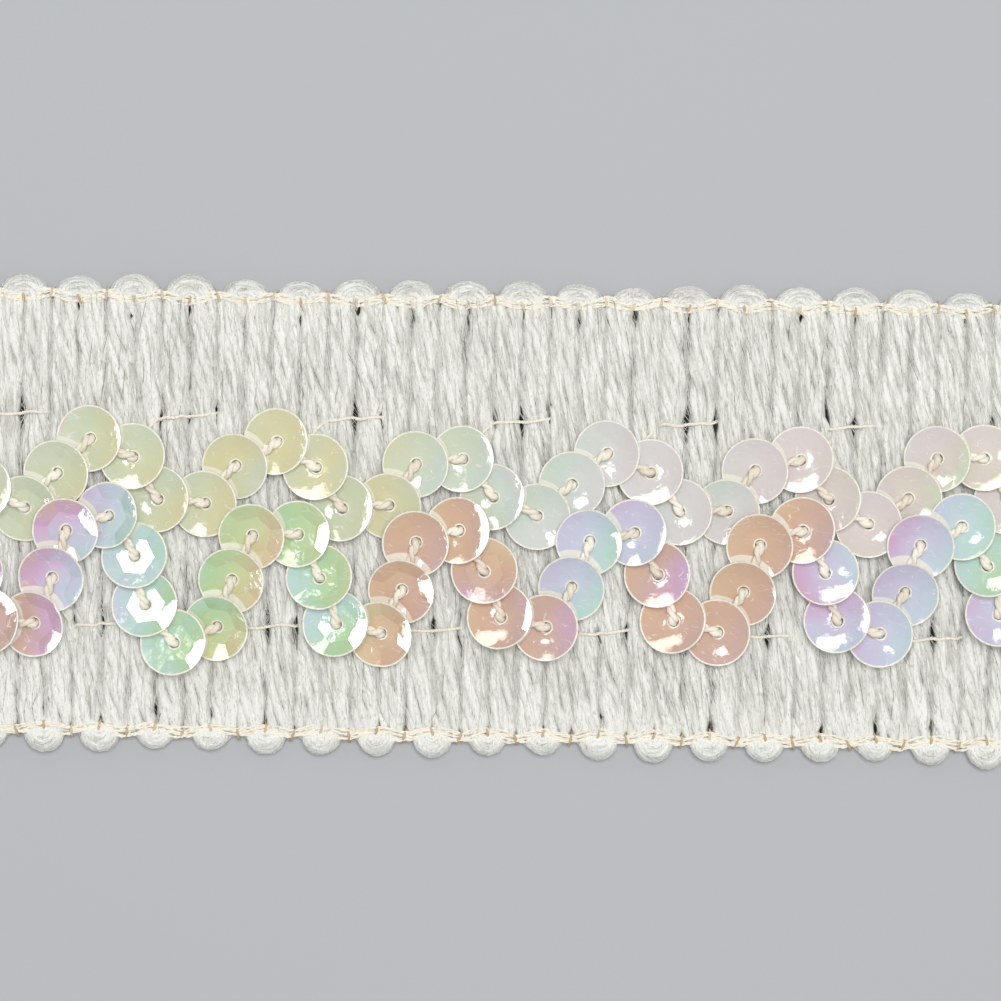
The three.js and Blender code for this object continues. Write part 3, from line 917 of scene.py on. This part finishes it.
def pan(x, y, depth, radius, crispness=1.0):
    """Height of a cup's film: a floor that rises a little, then steeper sides. Crisp cups have
    a flat floor and six flat sides, worn ones are nearly round."""
    angle = np.arctan2(y, x)
    facet = np.round(angle / (TURN / CUP_SIDES) - 0.5) + 0.5
    flat = np.hypot(x, y) * np.cos(angle - facet * TURN / CUP_SIDES)
    out = blend_between(ROUND_SHARE * np.hypot(x, y), flat, crispness)
    steep = depth / (radius * math.cos(math.pi / CUP_SIDES / 2) - FLOOR_HALF)
    lip = -LIP_DROP * np.maximum(HOLE_BAND - np.hypot(x, y), 0) / (HOLE_BAND - HOLE_RADIUS)
    slope = FLOOR_SLOPE * (1 - CRISP_LEVELS * crispness)
    floor = slope * np.clip(out, HOLE_RADIUS, FLOOR_HALF)
    return floor + steep * np.maximum(out - FLOOR_HALF, 0) + lip


def wave_curve(string):
    """The line of a string: smooth turns with steep stretches between them."""
    turns = np.array(WAVE_TURNS)[:, string["columns"]]
    share = np.arange(WAVE_STEPS) / WAVE_STEPS
    along = share + string["steepness"] * np.sin(TURN * share)
    across = (1 - np.cos(math.pi * share)) / 2
    stretches = [
        np.stack([blend_between(a[0], b[0], along), blend_between(a[1], b[1], across)], axis=1)
        for a, b in zip(turns[:-1], turns[1:])
    ]
    return np.concatenate(stretches)


def cup_places(string, radius):
    """Places at even steps along the wave, as far as the trim's ends."""
    curve = wave_curve(string)
    walked = distance_along(curve)
    due = np.arange(string["first"], walked[-1], string["step"])
    places = np.stack([np.interp(due, walked, curve[:, axis]) for axis in (0, 1)], axis=1)
    return places[np.abs(places[:, 0]) <= HALF_LENGTH - radius]


class CupLay:
    """Where every sequin lies: its middle, its height and the way it leans."""

    def __init__(self):
        self.radius = size_mm("cup_radius")
        far = cup_places(STRINGS["far"], self.radius)
        near = cup_places(STRINGS["near"], self.radius)
        self.middle = np.concatenate([far, near])
        self.spans = {"far": (0, len(far)), "near": (len(far), len(far) + len(near))}
        random = np.random.default_rng(3)
        count = len(self.middle)
        self.left = np.full(count, -1)
        self.ahead = np.zeros((count, 2))
        self.depth = np.zeros(count)
        for which, (first, last) in self.spans.items():
            self.depth[first:last] = size_mm("cup_depth") * STRINGS[which]["depth"]
            self.ahead[first:last] = unit(np.gradient(self.middle[first:last], axis=0))
            self.left[first + 1:last] = np.arange(first, last - 1)
        self.lean = self.ahead * LAP_SLOPE + random.normal(0, LEAN_STRAY, (count, 2))
        self.height = np.full(count, CUP_REST)
        self.spin = random.uniform(0, TURN / CUP_SIDES, count)
        self.settle()

    def laps(self):
        """Pairs of sequins that meet, the upper one first: left over right, near over far."""
        first_near = self.spans["near"][0]
        pairs = []
        for a in range(len(self.middle)):
            for b in range(a + 1, len(self.middle)):
                apart = np.linalg.norm(self.middle[a] - self.middle[b])
                if apart < 2 * self.radius + MEET_SPARE:
                    crossing = a < first_near <= b
                    pairs.append((b, a) if crossing else (a, b))
        return pairs

    def surface(self, cup, points):
        """Height of a cup's film at places in plan."""
        off = points - self.middle[cup]
        out = np.linalg.norm(off, axis=-1)
        side = self.depth[cup] * np.clip((out - FLOOR_HALF) / (self.radius - FLOOR_HALF), 0, 1.02)
        return self.height[cup] + off @ self.lean[cup] + side

    def over(self, cup, points):
        """Which places in plan lie over a cup."""
        return np.linalg.norm(points - self.middle[cup], axis=1) <= self.radius + REACH_SPARE

    def clear(self, upper, lower, rings):
        """Tips two sequins apart and lifts the upper one. The room that was short, in mm."""
        points = np.concatenate([rings + self.middle[lower], rings + self.middle[upper]])
        points = points[self.over(lower, points) & self.over(upper, points)]
        if not len(points):
            return 0.0
        gap = self.surface(upper, points) - self.surface(lower, points)
        tightest = int(np.argmin(gap))
        short = CLEAR - gap[tightest]
        if short <= 0:
            return 0.0
        for cup, sign in ((upper, 1), (lower, -1)):
            off = points[tightest] - self.middle[cup]
            self.lean[cup] += sign * SETTLE_TIP * short * off / self.radius**2
            self.lean[cup] *= min(1.0, MOST_LEAN / np.linalg.norm(self.lean[cup]))
        self.height[upper] += SETTLE_LIFT * short
        return short

    def settle(self):
        """Lifts and tips the sequins until each lies clear over the one that it laps."""
        angle = np.linspace(0, TURN, SETTLE_RING_PLACES, endpoint=False)
        ring = np.stack([np.cos(angle), np.sin(angle)], axis=1)
        rings = np.concatenate([ring * share * self.radius for share in SETTLE_RINGS])
        pairs = self.laps()
        for _ in range(SETTLE_ROUNDS):
            worst = max([self.clear(upper, lower, rings) for upper, lower in pairs])
            low = CUP_REST + (np.linalg.norm(self.lean, axis=1) - LAP_SLOPE) * REST_HALF
            self.height = np.maximum(self.height, low)
            if worst < SETTLE_DONE:
                break


def floor_outline(angle):
    """How far out the floor's six-sided edge lies, at an angle round the cup."""
    return FLOOR_HALF / math.cos((angle % (TURN / CUP_SIDES)) - math.pi / CUP_SIDES)


def cup_template(radius, depth, film):
    """One sequin at the origin: rings from its hole to its rim, given the film's thickness."""
    cup = bmesh.new()
    bmesh.ops.create_circle(cup, cap_ends=False, segments=RIM_STEPS, radius=HOLE_RADIUS)
    edges = list(cup.edges)
    for ring in (HOLE_BAND, HOLE_LIP, floor_outline, radius - EDGE_BAND, radius):
        made = bmesh.ops.extrude_edge_only(cup, edges=edges)["geom"]
        edges = [part for part in made if isinstance(part, bmesh.types.BMEdge)]
        for vertex in (part for part in made if isinstance(part, bmesh.types.BMVert)):
            angle = math.atan2(vertex.co.y, vertex.co.x)
            out = ring(angle) if callable(ring) else ring
            vertex.co = Vector((math.cos(angle), math.sin(angle), 0)) * out
    for vertex in cup.verts:
        vertex.co.z = float(pan(vertex.co.x, vertex.co.y, depth, radius))
    bmesh.ops.recalc_face_normals(cup, faces=cup.faces)
    if sum(face.normal.z for face in cup.faces) < 0:
        bmesh.ops.reverse_faces(cup, faces=cup.faces)
    bmesh.ops.solidify(cup, geom=list(cup.faces), thickness=film)
    for face in cup.faces:
        outward = [math.hypot(vertex.co.x, vertex.co.y) for vertex in face.verts]
        at_rim = min(outward) > radius - EDGE_BAND - EDGE_SPARE
        # Painted highlight: the band round the hole takes the pale edge finish, partly the hole's
        # cut edge and partly a stand-in for the glint on its lip.
        hole_edge_and_highlight = max(outward) < HOLE_BAND + EDGE_SPARE
        face.material_index = int(at_rim or hole_edge_and_highlight)
    bmesh.ops.recalc_face_normals(cup, faces=cup.faces)
    mesh = bpy.data.meshes.new("cup_template")
    cup.to_mesh(mesh)
    cup.free()
    return mesh


def keep_creases(mesh, worn, points_each):
    """Crisp cups keep the creases between their flats, worn ones only the cut edges."""
    sharp = []
    for angle in CREASE_ANGLES:
        mesh.set_sharp_from_angle(angle=math.radians(angle))
        values = np.zeros(len(mesh.edges), bool)
        mesh.attributes["sharp_edge"].data.foreach_get("value", values)
        sharp.append(values)
    ends = np.zeros(2 * len(mesh.edges), int)
    mesh.edges.foreach_get("vertices", ends)
    kept = np.where(worn[ends[::2] // points_each], *sharp)
    mesh.attributes["sharp_edge"].data.foreach_set("value", kept)


def shaped_cup(points, crisp, bow, depth, radius):
    """A cup's points, made as crisp as asked and gently bowed both ways."""
    plain = points[:, 0], points[:, 1], depth, radius
    shaped = points.copy()
    shaped[:, 2] += pan(*plain, crisp) - pan(*plain)
    shaped[:, 2] += bow[0] * points[:, 0] ** 2 / 3 + bow[1] * points[:, 1] ** 2 / 3
    return shaped


def cup_turn(lay, cup):
    """The matrix that turns and tips a cup."""
    turn = Matrix.Rotation(lay.spin[cup], 3, "Z")
    lean = Vector((-lay.lean[cup][0], -lay.lean[cup][1], 1.0)).normalized()
    tip = Vector((0, 0, 1)).rotation_difference(lean).to_matrix()
    return np.array(tip @ turn).T


def cup_pearl(x, crisp, placed, facing, drift, random):
    """The phase of a cup's pearl at each point, and how far each of its flats shifts it."""
    lively = hill(x - LIVELY_PLACE, LIVELY_REACH)
    way = random.normal(*PEARL_WAY)
    across = placed[:, 0] * math.cos(way) + placed[:, 1] * math.sin(way)
    phase = np.interp(x, *np.transpose(drift)) + random.normal(0, PHASE_STRAY)
    phase = phase + random.uniform(*PHASE_SLOPES) * (1 + LIVELY_SLOPE * lively) * across
    play = FACET_PLAY + LIVELY_PLAY * crisp**3 * lively
    facet = play * (facing[:, 0] * math.cos(2 * way) + facing[:, 1] * math.sin(2 * way))
    return phase, facet


def make_string(name, lay, which, drift, seed):
    """One string of sequins, joined from copies of a cup. Its finish reads the pearl's phase, each
    point's place on its own cup, and its place from the middle of the cup that laps it, which
    places the painted reflection of that cup's rim."""
    random = np.random.default_rng(seed)
    first, last = lay.spans[which]
    depth = float(lay.depth[first])
    template = cup_template(lay.radius, depth, size_mm("film"))
    points = np.array([vertex.co for vertex in template.vertices])
    faces = np.array([list(face.vertices) for face in template.polygons])
    kinds = [face.material_index for face in template.polygons]
    aims = np.array([face.normal for face in template.polygons])
    bpy.data.meshes.remove(template)
    column = np.zeros(len(points))
    all_points, all_faces, worn = [], [], []
    phases, facets, discs, lapped = [], [], [], []
    for number, cup in enumerate(range(first, last)):
        x, y = lay.middle[cup]
        bow = random.normal(0, CUP_BOW, 2)
        extra = CRISP_EXTRA[which] * hill(x - CRISP_PLACE, CRISP_REACH)
        crisp = float(np.clip(random.normal(CRISP_USUAL, CRISP_STRAY) + extra, 0.1, 1.0))
        turn = cup_turn(lay, cup)
        placed = shaped_cup(points, crisp, bow, depth, lay.radius) @ turn
        phase, facet = cup_pearl(x, crisp, placed, aims @ turn, drift, random)
        left = lay.left[cup]
        beside = lay.middle[left] - lay.middle[cup] if left >= 0 else (-99.0, 0.0)
        all_points.append(placed + (x, y, lay.height[cup]))
        all_faces.append(faces + len(points) * number)
        worn.append(crisp < WORN_BELOW)
        phases.append(phase)
        facets.append(facet)
        discs.append(np.column_stack([points[:, :2], column + DISC_APART * number]))
        lapped.append(np.column_stack([placed[:, :2] - beside, column]))
    mesh = bpy.data.meshes.new(name)
    joined = np.concatenate(all_points) * MM
    mesh.from_pydata(joined.tolist(), [], np.concatenate(all_faces).tolist())
    mesh.polygons.foreach_set("material_index", kinds * (last - first))
    mesh.shade_smooth()
    keep_creases(mesh, np.array(worn), len(points))
    set_values(mesh, "phase", np.concatenate(phases))
    set_values(mesh, "facet", np.concatenate(facets), domain="FACE")
    set_values(mesh, "disc", np.concatenate(discs), kind="FLOAT_VECTOR")
    set_values(mesh, "lapped", np.concatenate(lapped), kind="FLOAT_VECTOR")
    return add_object(name, mesh)


# The thread of a cup, as stations of (outward from the hole, height above the floor): it
# rises through the hole and dives under the left neighbour.
CUP_THREAD = 2.8
CUP_THREAD_LAY = 2.1
CUP_STATIONS = ((0.0, -0.8), (-0.04, 0.0), (0.06, 0.46), (0.55, 0.6), (1.1, 0.54), (1.7, 0.45),
                (2.4, 0.45))
DIVE_FROM = 1.2


def cup_thread(lay, cup, way, radius):
    """The line of one cup's thread, toward the cup on its left."""
    left = lay.left[cup]
    line = []
    for out, above in CUP_STATIONS:
        place = lay.middle[cup] + out * way
        off = place - lay.middle[cup]
        height = lay.height[cup] + off @ lay.lean[cup] + FLOOR_SLOPE * abs(out) + above
        if left >= 0 and out > DIVE_FROM:
            height = min(height, float(lay.surface(left, place)) - radius * 2.1)
        line.append((place[0], place[1], height))
    return smooth_path(line, 0.15)


def make_sequin_thread(name, lay, which):
    """The thread of a string, a short twisted stretch at each cup, thickest over its hole."""
    random = np.random.default_rng(71)
    gathered = Gathered()
    radius = CUP_THREAD * size_mm("thread_radius")
    for cup in range(*lay.spans[which]):
        left = lay.left[cup]
        toward = lay.middle[left] - lay.middle[cup] if left >= 0 else -lay.ahead[cup]
        toward = unit(toward)
        bend = random.normal(0, 0.12)
        way = np.array((toward[0] - bend * toward[1], toward[1] + bend * toward[0]))
        line = cup_thread(lay, cup, way, radius)
        plies = twisted(line, (-way[1], way[0], 0), 0.78 * radius, CUP_THREAD_LAY,
                        random.uniform(0, TURN))
        tone = random.uniform(0.38, 0.68)
        for ply in plies:
            out = np.linalg.norm(ply[:, :2] - lay.middle[cup], axis=1)
            raised = np.clip((ply[:, 2] - lay.height[cup]) / 0.4, 0, 1)
            gathered.add([ply], radius * (0.8 + 0.42 * raised * hill(out, 0.6)), tone)
    return gathered.make(name, 6)


# Finishes

# The colour inputs and the output of a Mix node for colours.
MIX_A, MIX_B, MIX_RESULT = 6, 7, 2


class Finish:
    """A node-based material, put together a node at a time."""

    def __init__(self, name, **settings):
        self.material = bpy.data.materials.new(name)
        self.material.use_nodes = True
        self.tree = self.material.node_tree
        self.shader = self.tree.nodes["Principled BSDF"]
        for socket, value in settings.items():
            self.shader.inputs[socket.replace("_", " ")].default_value = value

    def node(self, kind, inputs=None, **settings):
        """A node with its settings, and its inputs linked or given a value."""
        made = self.tree.nodes.new(kind)
        for key, value in settings.items():
            setattr(made, key, value)
        for key, value in (inputs or {}).items():
            if isinstance(value, bpy.types.NodeSocket):
                self.tree.links.new(value, made.inputs[key])
            else:
                made.inputs[key].default_value = value
        return made

    def stretch(self, vector, scale, turn):
        """A vector turned about Z and then stretched."""
        turned = self.node("ShaderNodeMapping", {"Vector": vector, "Rotation": (0, 0, turn)})
        return self.node("ShaderNodeMapping", {
            "Vector": turned.outputs["Vector"], "Scale": scale,
        }).outputs["Vector"]

    def place(self, scale, turn=0.0):
        """Object coordinates, turned and then stretched."""
        return self.stretch(self.node("ShaderNodeTexCoord").outputs["Object"], scale, turn)

    def noise(self, vector, scale=1.0, detail=2.0, roughness=0.5):
        return self.node("ShaderNodeTexNoise", {
            "Vector": vector, "Scale": scale, "Detail": detail, "Roughness": roughness,
        }).outputs["Fac"]

    def math(self, operation, a, b=0.0, c=0.0):
        return self.node("ShaderNodeMath", {0: a, 1: b, 2: c}, operation=operation).outputs[0]

    def spread(self, value, low, high, to_low=0.0, to_high=1.0):
        return self.node("ShaderNodeMapRange", {
            "Value": value, "From Min": low, "From Max": high, "To Min": to_low, "To Max": to_high,
        }).outputs["Result"]

    def attribute(self, name, output="Fac"):
        return self.node("ShaderNodeAttribute", attribute_name=name).outputs[output]

    def mix(self, share, under, over):
        """One colour over another, by a share from 0 to 1."""
        return self.node("ShaderNodeMix", {"Factor": share, MIX_A: under, MIX_B: over},
                         data_type="RGBA").outputs[MIX_RESULT]

    def ramp(self, value, stops):
        made = self.node("ShaderNodeValToRGB", {"Fac": value})
        ramp = made.color_ramp
        while len(ramp.elements) > 1:
            ramp.elements.remove(ramp.elements[-1])
        for k, (place, colour) in enumerate(stops):
            element = ramp.elements[0] if k == 0 else ramp.elements.new(place)
            element.position = place
            element.color = colour if len(colour) == 4 else (*colour, 1.0)
        return made.outputs["Color"]

    def bump(self, height, distance, strength=1.0):
        made = self.node("ShaderNodeBump", {
            "Height": height, "Distance": distance, "Strength": strength,
        })
        self.tree.links.new(made.outputs["Normal"], self.shader.inputs["Normal"])

    def colour(self, socket):
        self.tree.links.new(socket, self.shader.inputs["Base Color"])


# The grains of the yarn along X, Y and Z, for each metre: fine streaks, broad clumps and dark
# flecks of painted shade. All are turned to follow the slack twist. The streaks run between the
# yarn's colour and a painted shade grey, and the lowest values go to a near-black painted shade.
STREAK_GRAIN, CLUMP_GRAIN, SHADE_FLECK_GRAIN = (11000, 1700, 6000), (1300, 320, 1300), (7500, 1900, 5200)
STREAK_TURN, SHADE_FLECK_TURN = -0.16, -0.12
PAINTED_DEEP_SHADE = (0.04, 0.04, 0.035)
THREAD_GRAIN = (5000, 5000, 5000)


def yarn_finish(name):
    """Off-white fluffy yarn: fine bright and grey streaks along the legs, the grey partly grain and
    partly painted shade between the fibres, with dark flecks of painted shade, and near-black
    painted shade where the tone is lowest.
    """
    finish = Finish(name, Roughness=0.95, Sheen_Weight=0.2, Specular_IOR_Level=0.1)
    streaks = finish.noise(finish.place(STREAK_GRAIN, STREAK_TURN), detail=4.0, roughness=0.72)
    clumps = finish.noise(finish.place(CLUMP_GRAIN, STREAK_TURN), detail=2.0)
    flecks = finish.noise(finish.place(SHADE_FLECK_GRAIN, SHADE_FLECK_TURN), detail=1.0)
    tone = finish.attribute("tone")
    mixed = finish.math("MULTIPLY_ADD", streaks, 0.8, finish.math("MULTIPLY", clumps, 0.3))
    mixed = finish.math("ADD", mixed, finish.math("MULTIPLY_ADD", tone, 0.55, -0.42))
    # Painted shade: the flecks darken the yarn in small spots, like gaps into it.
    mixed = finish.math("MULTIPLY", mixed, finish.spread(flecks, 0.32, 0.42, 0.45, 1.0))
    finish.colour(finish.ramp(mixed, (
        (0.0, PAINTED_DEEP_SHADE), (0.2, colour_of("yarn_shade")), (0.58, colour_of("yarn")),
    )))
    finish.bump(streaks, 0.00012, 0.8)
    return finish.material


def thread_finish():
    """Cream thread, painted darker tan where its tone is low: painted shade in the knots, where the
    threads dip and cross.
    """
    finish = Finish("cream_thread", Roughness=0.75, Sheen_Weight=0.15, Specular_IOR_Level=0.3)
    fine = finish.noise(finish.place(THREAD_GRAIN), detail=3.0)
    tone = finish.math("MULTIPLY_ADD", fine, 0.5, finish.attribute("tone"))
    finish.colour(finish.ramp(tone, (
        (0.25, colour_of("thread_shade")), (0.9, colour_of("thread")),
    )))
    finish.bump(fine, 0.00004, 0.6)
    return finish.material


# The tints of the pearl, by its phase.
PALE_PEARL = (
    (0.00, (0.63, 0.67, 0.52)),
    (0.14, (0.60, 0.66, 0.48)),
    (0.30, (0.69, 0.64, 0.38)),
    (0.45, (0.62, 0.67, 0.51)),
    (0.60, (0.60, 0.68, 0.61)),
    (0.72, (0.68, 0.67, 0.66)),
    (0.86, (0.71, 0.63, 0.63)),
    (1.00, (0.68, 0.62, 0.54)),
)
DEEP_PEARL = (
    (0.00, (0.66, 0.44, 0.31)),
    (0.12, (0.61, 0.42, 0.37)),
    (0.22, (0.64, 0.41, 0.59)),
    (0.32, (0.60, 0.55, 0.71)),
    (0.44, (0.57, 0.63, 0.74)),
    (0.55, (0.51, 0.70, 0.64)),
    (0.66, (0.46, 0.65, 0.38)),
    (0.78, (0.60, 0.64, 0.35)),
    (0.90, (0.70, 0.53, 0.35)),
    (1.00, (0.66, 0.44, 0.31)),
)
PHASE_CLOUD = 0.12
SCRATCH_TURN, SCRATCH_STRETCH, SCRATCH_SHARE = 0.9, (0.45, 1.7, 1), 0.6
SCRATCH_COLOUR = (0.9, 0.89, 0.86, 1.0)

# Painted reflection: a thin pale arc is painted on a cup beside the rim of the cup that laps it,
# where the cup would mirror that pale rim. How far that rim seems to have moved, how far out the
# arc lies, how strong it is and its colour.
RIM_MIRRORED = (-0.12, 0.25, 0.0)
RIM_REFLECTION_FROM, RIM_REFLECTION_TO, RIM_REFLECTION_SHARE = 3.03, 3.1, 0.78
RIM_REFLECTION_COLOUR = (0.88, 0.85, 0.74, 1.0)


def pearl_finish(name, stops):
    """Pearly film: its tint follows the phase, with fine scratches and a gentle waviness. A painted
    reflection of the pale rim of the sequin that laps it lies as a thin pale arc beside that rim."""
    finish = Finish(name, Roughness=0.12, Metallic=0.0, IOR=1.5, Coat_Weight=1.0,
                    Coat_Roughness=0.03, Coat_IOR=1.5)
    disc = finish.attribute("disc", "Vector")
    cloud = finish.noise(disc, scale=0.5, detail=1.0)
    phase = finish.math("MULTIPLY_ADD", cloud, PHASE_CLOUD, finish.attribute("phase"))
    phase = finish.math("ADD", phase, finish.attribute("facet"))
    phase = finish.math("WRAP", finish.math("SUBTRACT", phase, PHASE_CLOUD / 2), 1.0, 0.0)
    tint = finish.ramp(phase, stops)
    cracks = finish.node("ShaderNodeTexVoronoi", {
        "Vector": finish.stretch(disc, SCRATCH_STRETCH, SCRATCH_TURN), "Scale": 1.0,
    }, feature="DISTANCE_TO_EDGE").outputs["Distance"]
    scratch = finish.spread(cracks, 0.0, 0.03, 1.0, 0.0)
    patches = finish.spread(finish.noise(disc, scale=1.1, detail=1.0), 0.56, 0.62)
    marks = finish.math("MULTIPLY", finish.math("MULTIPLY", scratch, patches), SCRATCH_SHARE)
    scratched = finish.mix(marks, tint, SCRATCH_COLOUR)
    # Painted reflection: a thin pale arc beside the rim of the cup that laps this one.
    aside = finish.node("ShaderNodeVectorMath", {0: finish.attribute("lapped", "Vector"),
                                                 1: RIM_MIRRORED}, operation="SUBTRACT")
    away = finish.node("ShaderNodeVectorMath", {0: aside.outputs[0]}, operation="LENGTH")
    painted_rim_reflection = finish.spread(away.outputs["Value"], RIM_REFLECTION_FROM, RIM_REFLECTION_TO, RIM_REFLECTION_SHARE, 0.0)
    finish.colour(finish.mix(painted_rim_reflection, scratched, RIM_REFLECTION_COLOUR))
    finish.bump(finish.noise(disc, scale=0.9, detail=2.0), 0.00016, 0.6)
    return finish.material


def edge_and_hole_highlight_finish():
    """The pale cut edge of the film. Round each sequin's hole it is also a painted highlight, for
    the glint on the hole's lip.
    """
    finish = Finish("film_edge", Roughness=0.4, Coat_Weight=0.5)
    fine = finish.noise(finish.attribute("disc", "Vector"), scale=3.0)
    edge = colour_of("film_edge")
    dim = tuple(0.8 * part for part in edge[:3])
    finish.colour(finish.ramp(fine, ((0.3, dim), (0.6, edge))))
    return finish.material


def floor_finish():
    """A plain matt pale floor."""
    finish = Finish("pale_floor", Roughness=0.9, Specular_IOR_Level=0.2)
    finish.shader.inputs["Base Color"].default_value = colour_of("floor")
    return finish.material


# Floor, camera and light

FLOOR_REACH = 1500.0
FLOOR_DROP = 0.03
SKY_COLOUR = (0.99, 1.0, 1.0, 1.0)
SKY_STRENGTH = 0.42

PHOTO_PIXELS = 1001
PIXELS_PER_MM = 11.1
CAMERA_AIM = (0.8, 1.67, 1.5)
CAMERA_ROLL = 1.0
LENS = 120.0
SENSOR = 36.0

# The lamps that glint light the shiny pieces alone. The overhead one leaves no shine.
LIGHTS = (
    {"name": "overhead", "at": (30, 60, 540), "size": (220, 220), "power": 2.05,
     "colour": (1.0, 1.0, 0.99), "glints": False},
    {"name": "left_strip", "at": (-230, -10, 46), "size": (260, 62), "power": 0.9,
     "colour": (1.0, 1.0, 1.0), "glints": True},
    {"name": "far_box", "at": (-115, 84, 300), "size": (58, 62), "power": 0.13,
     "colour": (1.0, 1.0, 1.0), "glints": True},
    {"name": "far_reflector", "at": (-60, 230, 170), "size": (220, 110), "power": 0.62,
     "colour": (1.0, 0.93, 0.80), "glints": True},
)


def make_floor():
    plane = bmesh.new()
    bmesh.ops.create_grid(plane, x_segments=1, y_segments=1, size=FLOOR_REACH * MM)
    mesh = bpy.data.meshes.new("floor")
    plane.to_mesh(mesh)
    plane.free()
    mesh.transform(Matrix.Translation((0, 0, -FLOOR_DROP * MM)))
    mesh.materials.append(floor_finish())
    floor = add_object("floor", mesh)


def make_sky():
    world = bpy.data.worlds.new("soft_studio")
    world.use_nodes = True
    sky = world.node_tree.nodes["Background"]
    sky.inputs["Color"].default_value = SKY_COLOUR
    sky.inputs["Strength"].default_value = SKY_STRENGTH
    bpy.context.scene.world = world


def make_lamp(light):
    """A lamp that points at the trim's middle."""
    data = bpy.data.lights.new(light["name"], "AREA")
    data.shape = "RECTANGLE"
    data.size, data.size_y = (side * MM for side in light["size"])
    data.energy = light["power"]
    data.color = light["colour"]
    lamp = add_object(light["name"], data)
    lamp.location = Vector(light["at"]) * MM
    lamp.rotation_euler = (-lamp.location).to_track_quat("-Z", "Y").to_euler()
    lamp.visible_diffuse = not light["glints"]
    lamp.visible_glossy = light["glints"]


def make_camera():
    """A camera over the trim that sees as much of it as the photograph does."""
    camera = bpy.data.cameras.new("photo_camera")
    camera.lens = LENS
    camera.sensor_width = SENSOR
    camera.clip_start = 0.01
    seen_from = add_object("photo_camera", camera)
    distance = PHOTO_PIXELS / PIXELS_PER_MM * LENS / SENSOR
    seen_from.location = Vector((CAMERA_AIM[0], CAMERA_AIM[1], CAMERA_AIM[2] + distance)) * MM
    seen_from.rotation_euler = (0, 0, math.radians(CAMERA_ROLL))
    bpy.context.scene.camera = seen_from


class TRIM_OT_yarn_ground(bpy.types.Operator):
    """Lay the inside of the yarn band, from scalloped edge to scalloped edge"""
    bl_idname = "trim.yarn_ground"
    bl_label = "Yarn ground"

    def execute(self, context):
        finish_piece(make_ground(), [yarn_finish("yarn_inside")], "yarn", "yarn_body")
        return {"FINISHED"}


class TRIM_OT_yarn_plies(bpy.types.Operator):
    """Lay the plies of every leg and round every scallop"""
    bl_idname = "trim.yarn_plies"
    bl_label = "Yarn plies"

    def execute(self, context):
        finish_piece(make_plies(), [yarn_finish("yarn_ply")], "yarn")
        return {"FINISHED"}


class TRIM_OT_yarn_fibres(bpy.types.Operator):
    """Lay the fine fibres on the plies"""
    bl_idname = "trim.yarn_fibres"
    bl_label = "Yarn fibres"

    def execute(self, context):
        fluff = [yarn_finish("yarn_fibre")]
        for piece in make_fibres():
            finish_piece(piece, fluff, "yarn")
        return {"FINISHED"}


class TRIM_OT_threads(bpy.types.Operator):
    """Chain the two edge bindings and draw in the ties"""
    bl_idname = "trim.threads"
    bl_label = "Bindings and ties"

    def execute(self, context):
        thread = [thread_finish()]
        finish_piece(make_binding("binding_thread_far", 1), thread, "binding", "binding_far")
        finish_piece(make_binding("binding_thread_near", -1), thread, "binding", "binding_near")
        finish_piece(make_ties(), thread, "binding")
        return {"FINISHED"}


class TRIM_OT_sequins(bpy.types.Operator):
    """String both waves of sequins and their thread"""
    bl_idname = "trim.sequins"
    bl_label = "Sequins"

    def execute(self, context):
        lay = CupLay()
        edge = edge_and_hole_highlight_finish()
        thread = [bpy.data.materials["cream_thread"]]
        pale = make_string("pale_cups", lay, "far", PALE_DRIFT, 81)
        finish_piece(pale, [pearl_finish("pale_pearl", PALE_PEARL), edge], "pale_sequins",
                     "sequin_string_far")
        deep = make_string("deep_cups", lay, "near", DEEP_DRIFT, 82)
        finish_piece(deep, [pearl_finish("deep_pearl", DEEP_PEARL), edge], "deep_sequins",
                     "sequin_string_near")
        for which in ("far", "near"):
            line = make_sequin_thread(f"sequin_thread_{which}", lay, which)
            finish_piece(line, thread, "binding")
        return {"FINISHED"}


class TRIM_OT_sheet(bpy.types.Operator):
    bl_idname = "trim.sheet"
    bl_label = "Declare the band"

    def execute(self, context):
        return {"FINISHED"}


class TRIM_OT_stage(bpy.types.Operator):
    """Set up the floor, the lights and the camera"""
    bl_idname = "trim.stage"
    bl_label = "Stage"

    def execute(self, context):
        make_floor()
        make_sky()
        for light in LIGHTS:
            make_lamp(light)
        make_camera()
        context.scene.view_settings.view_transform = "Standard"
        return {"FINISHED"}


STEPS = (
    TRIM_OT_stage,
    TRIM_OT_yarn_ground,
    TRIM_OT_yarn_plies,
    TRIM_OT_yarn_fibres,
    TRIM_OT_threads,
    TRIM_OT_sequins,
    TRIM_OT_sheet,
)


class TRIM_PT_panel(bpy.types.Panel):
    """The trim's steps, sizes and colours"""
    bl_label = "Sequined braid trim"
    bl_idname = "TRIM_PT_panel"
    bl_space_type = "VIEW_3D"
    bl_region_type = "UI"
    bl_category = "Trim"

    def draw(self, context):
        for step in STEPS:
            self.layout.operator(step.bl_idname)
        for group in (context.scene.trim_sizes, context.scene.trim_colours):
            for name in group.__annotations__:
                self.layout.prop(group, name)


CLASSES = (TrimSizes, TrimColours, *STEPS, TRIM_PT_panel)


def register():
    for kind in CLASSES:
        bpy.utils.register_class(kind)
    bpy.types.Scene.trim_sizes = bpy.props.PointerProperty(type=TrimSizes)
    bpy.types.Scene.trim_colours = bpy.props.PointerProperty(type=TrimColours)


def unregister():
    del bpy.types.Scene.trim_colours
    del bpy.types.Scene.trim_sizes
    for kind in reversed(CLASSES):
        bpy.utils.unregister_class(kind)


def main():
    register()
    for step in STEPS:
        group, name = step.bl_idname.split(".")
        getattr(getattr(bpy.ops, group), name)()


if __name__ == "__main__":
    main()
